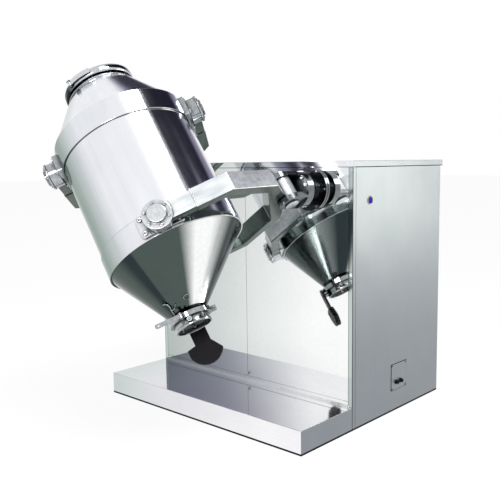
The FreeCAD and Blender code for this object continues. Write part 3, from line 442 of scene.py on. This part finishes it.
def rounded(bm, width, angle=40, segments=2):
    """Rounds every edge sharper than an angle."""
    limit = math.radians(angle)
    sharp = [e for e in bm.edges if len(e.link_faces) == 2 and e.calc_face_angle(0) > limit]
    return bevelled(bm, sharp, width, segments)


def moved(bm, matrix):
    """Moves a mesh and hands it on."""
    bmesh.ops.transform(bm, matrix=matrix, verts=bm.verts)
    return bm


def joined(*parts):
    """Several meshes as one."""
    whole = bmesh.new()
    for part in parts:
        scrap = bpy.data.meshes.new("scrap")
        part.to_mesh(scrap)
        part.free()
        whole.from_mesh(scrap)
        bpy.data.meshes.remove(scrap)
    return whole


def screw(radius, height):
    """Socket cap screw: a turned head with a sunk socket, standing on z = 0."""
    hole, floor_z = radius * 0.52, height * 0.45
    profile = [(0, floor_z), (hole, floor_z), (hole, height), (radius, height), (radius, -SUNK),
               (0, -SUNK)]
    return rounded(turned(profile, 20), radius * 0.12)


def hexagon(radius, height):
    """Hexagon head on z = 0, with its washer."""
    washer_r, washer_t = radius * 1.05, 1.2
    bm = bmesh.new()
    bmesh.ops.create_cone(bm, cap_ends=True, segments=6, radius1=radius, radius2=radius,
                          depth=height)
    bmesh.ops.translate(bm, vec=(0, 0, height / 2), verts=bm.verts)
    washer = turned([(0, washer_t), (washer_r, washer_t), (washer_r, -SUNK), (0, -SUNK)], 24)
    return joined(rounded(bm, radius * 0.1, angle=30), washer)


def along(axis, at):
    """Turns Z to an axis and moves to a point."""
    return Matrix.Translation(at) @ Vector(axis).to_track_quat("Z", "Y").to_matrix().to_4x4()


def about(degrees):
    """Turns round Z."""
    return Matrix.Rotation(math.radians(degrees), 4, "Z")


def piece(name, bm, where, body, slot, material, *stands_for):
    """Places a mesh, gives it its finish and lets it ride on its body."""
    moved(bm, where)
    mesh = bpy.data.meshes.new(name)
    bm.to_mesh(mesh)
    bm.free()
    mesh.materials.append(material)
    for face in mesh.polygons:
        face.use_smooth = True
    mesh.set_sharp_from_angle(angle=math.radians(SMOOTH_BELOW))
    made = bpy.data.objects.new(name, mesh)
    bpy.context.scene.collection.objects.link(made)
    weights = made.modifiers.new("face_normals", "WEIGHTED_NORMAL")
    weights.keep_sharp, weights.weight = True, 50
    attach(made, body)
    if stands_for:
        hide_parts(*stands_for)
    return made


# Barrel

SHELL_STEPS = 192
piece("barrel_shell", turned([(BAR_R - BAR_WALL, BAR_LOW), (BAR_R, BAR_LOW), (BAR_R, BAR_TOP),
                              (BAR_R - BAR_WALL, BAR_TOP)], SHELL_STEPS),
      BARREL, "barrel", "barrel_steel", BARREL_POLISH, "barrel_cylinder")
piece("top_cone_shell", turned([(BAR_R - BAR_WALL, BAR_TOP), (BAR_R, BAR_TOP),
                                (CONE_TOP_R, CONE_TOP), (CONE_TOP_R - BAR_WALL, CONE_TOP)],
                               SHELL_STEPS),
      BARREL, "barrel", "barrel_steel", BARREL_POLISH, "barrel_top_cone")

lean = Matrix.Identity(4)
lean[0][2], lean[1][2] = -LEAN_X, -LEAN_Y
lean = Matrix.Translation((0, 0, BAR_LOW)) @ lean @ Matrix.Translation((0, 0, -BAR_LOW))
piece("bottom_cone_shell", moved(turned([
    (BAR_R, BAR_LOW), (BAR_R - BAR_WALL, BAR_LOW), (CONE_LOW_R - BAR_WALL, CONE_LOW),
    (CONE_LOW_R, CONE_LOW)], SHELL_STEPS), lean),
    BARREL, "barrel", "barrel_steel", CONE_BANDED_STEEL, "barrel_bottom_cone")

# Hoops near the planes of the two pairs of trunnions, let 0.2 mm into the shell.
HOOP_HALF, HOOP_IN, HOOP_OUT = 59, BAR_R - 0.2, BAR_R + 7.5
for name, middle, cad in (("lower_hoop_ring", -3.0, "lower_hoop"),
                          ("upper_hoop_ring", LINK + 6.0, "upper_hoop")):
    low, high = middle - HOOP_HALF, middle + HOOP_HALF
    ring = turned([(HOOP_IN, low), (HOOP_OUT, low), (HOOP_OUT, high), (HOOP_IN, high)],
                  SHELL_STEPS)
    piece(name, rounded(ring, 1.6), BARREL, "barrel", "hoop_steel", HOOP_POLISH, cad)


def bead(radius, z, half=3.5, height=1.6):
    """Weld bead round the barrel, with its foot 2 mm inside the sheet."""
    foot, shoulder = radius - 2, radius + height * 0.7
    return turned([(foot, z - half), (shoulder, z - half * 0.5), (radius + height, z),
                   (shoulder, z + half * 0.5), (foot, z + half)], SHELL_STEPS)


piece("shell_weld_beads", joined(bead(BAR_R, BAR_TOP), bead(CONE_TOP_R + 1, CONE_TOP - 1)),
      BARREL, "barrel", "barrel_steel", WELD)

# Mouth

NECK_IN, NECK_OUT = 168, 172
FLANGE_Z, FLANGE_R, FLANGE_T = 962.0, 181.0, 10.0
GASKET_T = 3.0
LID_Z = FLANGE_Z + FLANGE_T + GASKET_T
BAND_LOW, BAND_TOP, BAND_IN = 951, LID_Z + 10 + 5.3, 181.5
BAND_MIDDLE, HINGE_TURN = (BAND_LOW + BAND_TOP) / 2, 142
piece("mouth_neck", rounded(turned([
    (NECK_IN, CONE_TOP), (CONE_TOP_R, CONE_TOP), (CONE_TOP_R, CONE_TOP + 4),
    (NECK_OUT, CONE_TOP + 4), (NECK_OUT, FLANGE_Z), (FLANGE_R, FLANGE_Z),
    (FLANGE_R, FLANGE_Z + FLANGE_T), (NECK_IN, FLANGE_Z + FLANGE_T)]), 1.2),
    BARREL, "barrel", "hoop_steel", MOUTH_POLISH, "mouth_flange")
piece("dished_lid", rounded(turned([
    (0, LID_Z + 16), (140, LID_Z + 4), (160, LID_Z), (FLANGE_R, LID_Z), (FLANGE_R, LID_Z + 10),
    (160, LID_Z + 10), (138, LID_Z + 12), (80, LID_Z + 22), (0, LID_Z + 26)]), 1.2),
    BARREL, "lid", "hoop_steel", MOUTH_POLISH, "lid")

# The clamp band bulges outwards, and carries two lugs with a hinge pin between them.
band = rounded(turned([
    (BAND_IN, BAND_LOW), (184, BAND_LOW), (187.6, BAND_LOW + 2.5), (189.8, BAND_LOW + 7),
    (190.7, BAND_LOW + 13), (190.7, BAND_TOP - 12), (189.8, BAND_TOP - 7), (187, BAND_TOP - 2.5),
    (182, BAND_TOP), (159, BAND_TOP), (159, LID_Z + 10.3), (BAND_IN, LID_Z + 10.3)], 128),
    1.2, angle=60)
lugs = [moved(rounded(slab(189.7, 210.7, -10, 10, z, z + 6), 1.5), about(HINGE_TURN))
        for z in (BAND_MIDDLE - 19.4, BAND_MIDDLE + 13.4)]
hinge_pin = moved(rounded(turned([(0, -21), (5, -21), (5, 21), (0, 21)], 24), 1),
                  about(HINGE_TURN) @ Matrix.Translation((201.7, 0, BAND_MIDDLE)))
piece("mouth_band", joined(band, *lugs, hinge_pin), BARREL, "lid", "hoop_steel", BAND_POLISH,
      "mouth_clamp")

# Outlet

BORE_R, TUBE_R, RIM_R, RIM_T = 86, 90, 104, 8
VALVE_TOP, VALVE_LENGTH = -354.0, 52.0
VALVE_LOW = VALVE_TOP - VALVE_LENGTH
STEM_Z, STEM_R = VALVE_LOW + 24.5, 9.05
piece("outlet_tube", rounded(turned([
    (BORE_R, CONE_LOW), (CONE_LOW_R, CONE_LOW), (CONE_LOW_R, CONE_LOW - 3),
    (TUBE_R, CONE_LOW - 3), (TUBE_R, VALVE_TOP + RIM_T), (RIM_R, VALVE_TOP + RIM_T),
    (RIM_R, VALVE_TOP), (BORE_R, VALVE_TOP)]), 1),
    OUTLET, "barrel", "hoop_steel", MOUTH_POLISH, "outlet_neck")

# The valve's housing has a beaded lower rim, and a boss on each side for the disc's stem.
valve_shell = rounded(turned([
    (BORE_R, VALVE_TOP), (RIM_R, VALVE_TOP), (RIM_R, VALVE_TOP - RIM_T),
    (92, VALVE_TOP - RIM_T), (92, VALVE_LOW + 16), (95, VALVE_LOW + 12.5), (96, VALVE_LOW + 9),
    (96, VALVE_LOW + 3), (94, VALVE_LOW), (88, VALVE_LOW), (BORE_R, VALVE_LOW + 2)]), 1,
    angle=50)
bosses = [moved(rounded(turned([(STEM_R, 0), (12, 0), (12, 27), (STEM_R, 27)], 32), 0.8),
                along((side, 0, 0), (side * 90, 0, STEM_Z))) for side in (1, -1)]
piece("valve_housing", joined(valve_shell, *bosses), OUTLET, "barrel", "hoop_steel",
      OUTLET_POLISH, "valve_body")


def wire(points, radius):
    """The parts of a rod bent through some points, with round ends."""
    parts = []
    for start, end in zip(points, points[1:]):
        length = (end - start).length
        parts.append(moved(turned([(0, 0), (radius, 0), (radius, length), (0, length)], 16),
                           along(end - start, start)))
    for at in points:
        ball = bmesh.new()
        bmesh.ops.create_uvsphere(ball, u_segments=16, v_segments=10, radius=radius)
        parts.append(moved(ball, Matrix.Translation(at)))
    return parts


# Wire hook and eye, welded to the lower cone beside the outlet, in the barrel's axes. Each is
# lifted off the cone's skin, the way that the skin faces.
HOOK_WIRE, PRONG_WIRE, EYE_WIRE, EYE_R = 3.2, 2.6, 1.9, 14
HOOK_LIFT = Vector((-0.57, 0.36, -0.74)) * 5
EYE_AXIS = Vector((-0.59, -0.09, -0.8))
EYE_AT = Vector((-45, 50, -289)) + EYE_AXIS * 1.8
hook = [Vector(p) + HOOK_LIFT for p in ((24, 138, -326), (2, 142, -307), (-18, 141, -294),
                                        (-34, 146, -280), (-36, 158, -272), (-28, 166, -268))]
prong = [Vector(p) + HOOK_LIFT for p in ((2, 142, -307), (-12, 122, -304), (-30, 112, -294))]
eye = turned([(EYE_R + EYE_WIRE * math.cos(a), EYE_WIRE * math.sin(a))
              for a in (math.radians(45 * k) for k in range(8))], 32)
piece("cone_hook_and_eye", joined(*wire(hook, HOOK_WIRE), *wire(prong, PRONG_WIRE),
                                  moved(eye, along(EYE_AXIS, EYE_AT))),
      BARREL, "barrel", "turned_steel", SHADED_TURNED_STEEL)

# Trunnions

# Four screws on each pad.
PAD_FACE, PAD_SCREWS = 366.0, [(y, z) for y in (-83, 83) for z in (-35, 35)]
heads = []
for turn, z in ((0, 0), (180, 0), (90, LINK), (270, LINK)):
    for y, lift in PAD_SCREWS:
        heads.append(moved(screw(11, 9), about(turn) @ along(OUT_RIGHT, (PAD_FACE, y, z + lift))))
piece("trunnion_pad_screws", joined(*heads), BARREL, "barrel", "turned_steel", TURNED_STEEL)

# Forks

# Each fork's X runs from its pin to the barrel's axis, and its arms lie ARM_IN off that line.
ARM_IN, ARM_T, ARM_HALF = 368.0, 52.0, 48.0
ARM_OUT = ARM_IN + ARM_T
BLOCK_IN, BLOCK_OUT, BLOCK_HALF = 444.0, 574, 44
ELBOW_Y, KNEE_X = 226, 262
HUB_R, COVER_BOLTS_R = 50, 57
# A face gets the painted shade where its normal points down by this much, or in between the arms
# by this much, beyond the hub.
DOWNWARD, INWARD, HUB_Y = 0.2, 0.5, 60


def fork_frame(hub_half, bore):
    """Bent box-section frame, its hub and the forged blocks at the arms' ends."""
    outside = [(24, 80), (54, ELBOW_Y), (KNEE_X, ARM_OUT), (BLOCK_IN, ARM_OUT)]
    inside = [(BLOCK_IN, ARM_IN), (KNEE_X + ARM_T * 0.45, ARM_IN), (107, ELBOW_Y - ARM_T * 0.7)]
    half = outside + inside
    outline = half + [(x, -y) for x, y in reversed(half)]
    parts = [rounded(plate(outline, -ARM_HALF, ARM_HALF), 5, angle=12, segments=3)]
    for side in (1, -1):
        y0, y1 = sorted((side * (ARM_IN + 2), side * (ARM_OUT - 2)))
        parts.append(rounded(slab(BLOCK_IN - 4, BLOCK_OUT, y0, y1, -BLOCK_HALF, BLOCK_HALF), 4,
                             segments=3))
        seam0, seam1 = sorted((side * (ARM_IN - 0.8), side * (ARM_OUT + 0.8)))
        parts.append(rounded(slab(BLOCK_IN - 2, BLOCK_IN + 1, seam0, seam1, -ARM_HALF - 0.8,
                                  ARM_HALF + 0.8), 1.2))
    parts.append(rounded(turned([(bore, -hub_half), (HUB_R, -hub_half), (HUB_R, hub_half),
                                 (bore, hub_half)], 64), 2))
    web = min(40, hub_half - 6)
    parts.append(rounded(slab(38, 58, -45, 45, -web, web), 2))
    return joined(*parts)


def end_cover():
    """Bolted cover with a raised cap, standing on the housing at z = 0."""
    body = rounded(turned([(0, 26), (43, 26), (43, 10), (70, 10), (70, 0), (35, 0), (35, 20),
                           (0, 20)], 72), 2.5, segments=3)
    ring = [moved(screw(6.5, 6), Matrix.Translation((COVER_BOLTS_R * math.cos(a),
                                                     COVER_BOLTS_R * math.sin(a), 10)))
            for a in (math.radians(60 * k + 30) for k in range(6))]
    return joined(body, *ring)


def shade_faces(fork, where):
    """Gives the faces that look down or in between the arms the painted shade."""
    fork.data.materials.append(FORK_SHADE)
    own = where.inverted()
    for face in fork.data.polygons:
        spot = own @ face.center
        facing = where.to_quaternion().inverted() @ face.normal
        inward = facing.y * math.copysign(1, spot.y) < -INWARD and abs(spot.y) > HUB_Y
        face.material_index = int(face.normal.z < -DOWNWARD or inward)


# The numbers are half the length of each hub and the radius of its bore.
for prefix, where, ends, hub_half, bore, finish, lathe in (
        ("drive", DRIVE_FORK, ("far", "near"), 51.6, 25.05, DRIVE_FORK_GROUND, TURNED_STEEL),
        ("driven", DRIVEN_FORK, ("left", "right"), 38.0, 25.0, DRIVEN_FORK_GROUND, SHADED_TURNED_STEEL)):
    body = prefix + "_fork"
    weldment = piece(prefix + "_fork_weldment", fork_frame(hub_half, bore), where, body,
                     "fork_steel", finish, prefix + "_fork")
    shade_faces(weldment, where)
    for side, end in zip((1, -1), ends):
        housing = rounded(turned([(32.05, 0), (66, 0), (66, ARM_T), (32.05, ARM_T)], 72), 2.5,
                          segments=3)
        moved(housing, along((0, side, 0), (LINK, side * ARM_IN, 0)))
        piece("%s_bearing_housing_%s" % (prefix, end), housing, where, body, "turned_steel",
              lathe, "%s_housing_%s" % (prefix, end))
        cover = moved(end_cover(), along((0, side, 0), (LINK, side * ARM_OUT, 0)))
        piece("%s_bearing_cover_%s" % (prefix, end), cover, where, body, "turned_steel",
              lathe, "%s_cover_%s" % (prefix, end))

# Shafts

SEAL_BOLTS_R, SEAL_FACE, BOLTED_FACE = 100, PIN_REACH - 14, 76
for prefix, where in (("drive", DRIVE_SHAFT), ("driven", DRIVEN_SHAFT)):
    heads = [moved(screw(7, 7), along(OUT_FRONT, (SEAL_BOLTS_R * math.cos(a), SEAL_FACE,
                                                  SEAL_BOLTS_R * math.sin(a))))
             for a in (math.radians(60 * k) for k in range(6))]
    piece(prefix + "_seal_screws", joined(*heads), where, "cabinet", "turned_steel", TURNED_STEEL)
# The driven fork passes close to its flange, so that flange has the lower bolts.
for prefix, where, height in (("drive", DRIVE_CLEVIS, 9), ("driven", DRIVEN_CLEVIS, 4)):
    heads = [moved(hexagon(11, height), along(OUT_FRONT, (x, BOLTED_FACE, z)))
             for x in (-80, 80) for z in (-22, 22)]
    piece(prefix + "_flange_bolts", joined(*heads), where, prefix + "_shaft", "turned_steel",
          TURNED_STEEL)

# Cabinet

# Half its width, and its depth. Its front is at y = 0.
HALF, DEPTH = 1479.872 / 2, 925
COVER_LOW, COVER_TOP, STRIP_TOP = 1370, 1400, 1367
FOOT, PLATFORM_TOP, PLATFORM_OUT = 10, 124, 425
CORNER_W, SHEET = 25.0, 3.0
# A face looks along an axis where its normal has more than this along it.
FACING = 0.7


def folded(x0, x1, y0, y1, z0, z1):
    """Sheet tray, open below, with its folded edges rounded."""
    bm = slab(x0, x1, y0, y1, z0, z1)
    below = min(bm.faces, key=lambda f: f.calc_center_median().z)
    bmesh.ops.delete(bm, geom=[below], context="FACES_ONLY")
    bevelled(bm, [e for e in bm.edges if len(e.link_faces) == 2], 2.5, 3)
    bmesh.ops.solidify(bm, geom=bm.faces[:], thickness=SHEET)
    bmesh.ops.recalc_face_normals(bm, faces=bm.faces)
    return bm


def satin_sides(made):
    """Gives the faces that look left or right the cabinet's darker satin, with its painted shade.
    """
    made.data.materials.append(SHADED_SIDE_SATIN)
    for face in made.data.polygons:
        face.material_index = int(abs(face.normal.x) > FACING)


top_cover = piece("cabinet_top_cover", folded(-HALF, HALF, 0, DEPTH, COVER_LOW, COVER_TOP), ROW,
                  "cabinet", "cabinet_satin", SHADED_SIDE_SATIN, "top_cover")
top_cover.data.materials.append(FRONT_MIRROR)
top_cover.data.materials.append(COVER_SATIN)
for face in top_cover.data.polygons:
    face.material_index = 2 if face.normal.z > FACING else int(face.normal.y < -FACING)
satin_sides(piece("platform_sheet", folded(-HALF, HALF, -PLATFORM_OUT, -0.3, FOOT, PLATFORM_TOP),
                  ROW, "cabinet", "cabinet_satin", PLATFORM_SHEET, "platform_tray"))

for side, name in ((1, "right"), (-1, "left")):
    flanges = [rounded(slab(*sorted((side * HALF, side * (HALF - wide))), 0, deep, FOOT,
                            STRIP_TOP), 0.4)
               for wide, deep in ((CORNER_W, SHEET), (SHEET, CORNER_W))]
    satin_sides(piece("corner_strip_%s_angle" % name, joined(*flanges), ROW, "cabinet",
                      "front_polish", STRIP_POLISH, "corner_strip_" + name))

# Black strip under the cover's edge, a painted shadow: the dark line of shade above the side and
# rear panels.
SHADOW_LINE_LOW, SHADOW_LINE_OUT, SHADOW_LINE_IN = 1366.3, 0.7, 2
shadow_line = [slab(*box, SHADOW_LINE_LOW, COVER_LOW) for box in (
    (HALF - SHADOW_LINE_IN, HALF + SHADOW_LINE_OUT, 22, DEPTH + SHADOW_LINE_OUT),
    (-HALF - SHADOW_LINE_OUT, -HALF + SHADOW_LINE_IN, 22, DEPTH + SHADOW_LINE_OUT),
    (-HALF, HALF, DEPTH - SHADOW_LINE_IN, DEPTH + SHADOW_LINE_OUT))]
piece("cover_shadow_line", joined(*shadow_line), ROW, "cabinet", "strip_rubber", STRIP_RUBBER)

# Gasket and screws of the connection plate, low on the right side.
PLATE_Y, PLATE_Z = 456.0, 194.0
GASKET_Y, GASKET_Z = 80.4, 75.9
piece("plate_gasket", rounded(slab(HALF - 0.5, HALF + 1.4, PLATE_Y - GASKET_Y,
                                   PLATE_Y + GASKET_Y, PLATE_Z - GASKET_Z, PLATE_Z + GASKET_Z),
                              0.4), ROW, "cabinet", "strip_rubber", STRIP_RUBBER)
plate_heads = [moved(screw(5.5, 2.5), along(OUT_RIGHT, (HALF + 2, PLATE_Y + y, PLATE_Z + z)))
               for y in (-71, 71) for z in (-67, 67)]
piece("connection_plate_screws", joined(*plate_heads), ROW, "cabinet", "turned_steel",
      DARK_FLANGE)

# Blank oval plug: a crowned blue face in a narrow brass rim. Its profiles are turned with a radius
# of 1 and stretched to the oval's half widths.
PLUG_Y, PLUG_Z, PLUG_HALF_Y, PLUG_HALF_Z = 153.0, 1196.0, 25, 22
oval = (along(OUT_RIGHT, (HALF, PLUG_Y, PLUG_Z))
        @ Matrix.Diagonal((PLUG_HALF_Y, PLUG_HALF_Z, 1, 1)))
crown = turned([(0, 0), (0.84, 0), (0.84, 2.4), (0.6, 3.3), (0.3, 3.8), (0, 4)], 48)
rim = turned([(0.83, 0), (1, 0), (0.98, 2.2), (0.93, 3), (0.86, 2.8)], 48)
piece("plug_face", moved(crown, oval), ROW, "cabinet", "plug_blue", PLUG_BLUE, "oval_plug")
piece("plug_rim", moved(rim, oval), ROW, "cabinet", "plug_blue", BRASS_RIM)

# Stepped trim along the foot of the front panels.
STEP_HIGH = 3.4
trim = [rounded(slab(-HALF + 14, HALF - 26, -out, -0.2, PLATFORM_TOP + low,
                     PLATFORM_TOP + low + STEP_HIGH), 0.7)
        for out, low in ((9, 0.1), (6, 3.6), (3, 7.1))]
piece("panel_foot_trim", joined(*trim), ROW, "cabinet", "front_polish", FRONT_MIRROR)

# Floor

FLOOR_HALF, FLOOR_GLOW = 60, 0.85
floor_bm = bmesh.new()
bmesh.ops.create_grid(floor_bm, x_segments=1, y_segments=1, size=FLOOR_HALF)
floor_mesh = bpy.data.meshes.new("studio_floor")
floor_bm.to_mesh(floor_mesh)
floor_bm.free()
floor = bpy.data.objects.new("studio_floor", floor_mesh)
bpy.context.scene.collection.objects.link(floor)

# Matt pale floor that mostly glows like the background, and still takes a shadow.
pale, tree = new_material("pale_studio_floor")
share = node(tree, "ShaderNodeMath", {0: shown_rays(tree), 1: FLOOR_GLOW}, operation="MULTIPLY")
matt = node(tree, "ShaderNodeBsdfDiffuse", {"Color": linear("#F2F4F3")})
glow = node(tree, "ShaderNodeEmission", {"Color": WHITE, "Strength": 1.0})
both = node(tree, "ShaderNodeMixShader", {"Fac": share.outputs[0], 1: matt.outputs[0],
                                          2: glow.outputs[0]})
node(tree, "ShaderNodeOutputMaterial", {"Surface": both.outputs[0]})
floor_mesh.materials.append(pale)

# Studio

# White all round, and the camera sees nothing else. High up there are unlit parts of the ceiling,
# which only polished steel shows, as dark bands: bearing and height in degrees, half width of
# core and edge, brightness left.
UNLIT = ((30, 61, 14, 22, 0.0), (0, 42, 12, 20, 0.0), (-12, 28, 5, 20, 0.45),
         (-45, 36, 9, 20, 0.05), (-127, 22, 6, 15, 0.56), (150, 26, 3, 11, 0.3))
UNLIT_TONE, HALF_LIT_TONE = "#181828", "#8E8BA0"
STUDIO_LIGHT = 0.85
world = bpy.data.worlds.new("studio")
bpy.context.scene.world = world
world.use_nodes = True
tree = world.node_tree
tree.nodes.clear()
way = node(tree, "ShaderNodeTexCoord").outputs["Generated"]
left = None
for bearing, height, core, edge, least in UNLIT:
    b, h = math.radians(bearing), math.radians(height)
    centre = Vector((math.sin(b) * math.cos(h), math.cos(b) * math.cos(h), math.sin(h)))
    near = node(tree, "ShaderNodeVectorMath", {0: way, 1: centre}, operation="DOT_PRODUCT")
    part = node(tree, "ShaderNodeMapRange", {
        "Value": near.outputs["Value"], "From Min": math.cos(math.radians(edge)),
        "From Max": math.cos(math.radians(core)), "To Min": 1.0, "To Max": least},
        interpolation_type="SMOOTHSTEP").outputs["Result"]
    left = part if left is None else node(tree, "ShaderNodeMath", {0: left, 1: part},
                                          operation="MULTIPLY").outputs[0]
camera_ray = node(tree, "ShaderNodeLightPath").outputs["Is Camera Ray"]
left = node(tree, "ShaderNodeMath", {0: left, 1: camera_ray}, operation="MAXIMUM").outputs[0]
sky = node(tree, "ShaderNodeValToRGB", {"Fac": left}, [
    (0.0, linear(UNLIT_TONE)), (0.5, linear(HALF_LIT_TONE)), (1.0, WHITE)]).outputs["Color"]
lit = node(tree, "ShaderNodeBackground", {"Color": WHITE, "Strength": STUDIO_LIGHT})
shown = node(tree, "ShaderNodeBackground", {"Color": sky, "Strength": 1.0})
both = node(tree, "ShaderNodeMixShader", {"Fac": shown_rays(tree), 1: lit.outputs[0],
                                          2: shown.outputs[0]})
node(tree, "ShaderNodeOutputWorld", {"Surface": both.outputs[0]})


def lamp(name, at, aim, size_x, size_y, watts, tint=(1, 1, 1)):
    """Rectangular area lamp, in metres, that the camera doesn't see."""
    data = bpy.data.lights.new(name, "AREA")
    data.color = tint
    data.shape, data.size, data.size_y, data.energy = "RECTANGLE", size_x, size_y, watts
    made = bpy.data.objects.new(name, data)
    bpy.context.scene.collection.objects.link(made)
    made.location = at
    made.rotation_euler = (Vector(aim) - Vector(at)).to_track_quat("-Z", "Y").to_euler()
    made.visible_camera = False


lamp("top_softbox", (2.7, -1.0, 6.6), (0, -0.4, 0.9), 2.4, 2.4, 210)
lamp("front_softbox", (3.4, -6.4, 4.2), (0, -0.3, 0.9), 2.6, 2.0, 170)
lamp("right_softbox", (3.6, 3.5, 1.45), (0.7, 0.2, 1.1), 2.0, 2.0, 56, (1.0, 1.0, 0.86))

# Camera

# Fitted to the cabinet's edges: focal length and width of the picture in pixels, place in metres,
# and heading, downward tilt and roll in radians.
FOCAL_PX, PICTURE_PX, SENSOR = 705.1721, 500, 36.0
CAMERA_AT = (2.7615457, -2.9437077, 1.3930473)
HEADING, TILT, ROLL = -0.7478, 0.1222, -0.0138
camera_data = bpy.data.cameras.new("camera")
camera_data.sensor_width, camera_data.lens = SENSOR, FOCAL_PX / PICTURE_PX * SENSOR
camera = bpy.data.objects.new("camera", camera_data)
bpy.context.scene.collection.objects.link(camera)
ahead = Vector((math.sin(HEADING) * math.cos(TILT), math.cos(HEADING) * math.cos(TILT),
                -math.sin(TILT)))
level = Vector((math.cos(HEADING), -math.sin(HEADING), 0))
upright = level.cross(ahead)
picture_x = level * math.cos(ROLL) + upright * math.sin(ROLL)
picture_y = upright * math.cos(ROLL) - level * math.sin(ROLL)
camera.matrix_world = (Matrix.Translation(CAMERA_AT)
                       @ Matrix((picture_x, picture_y, -ahead)).transposed().to_4x4())
bpy.context.scene.camera = camera
bpy.context.scene.view_settings.view_transform = "Standard"
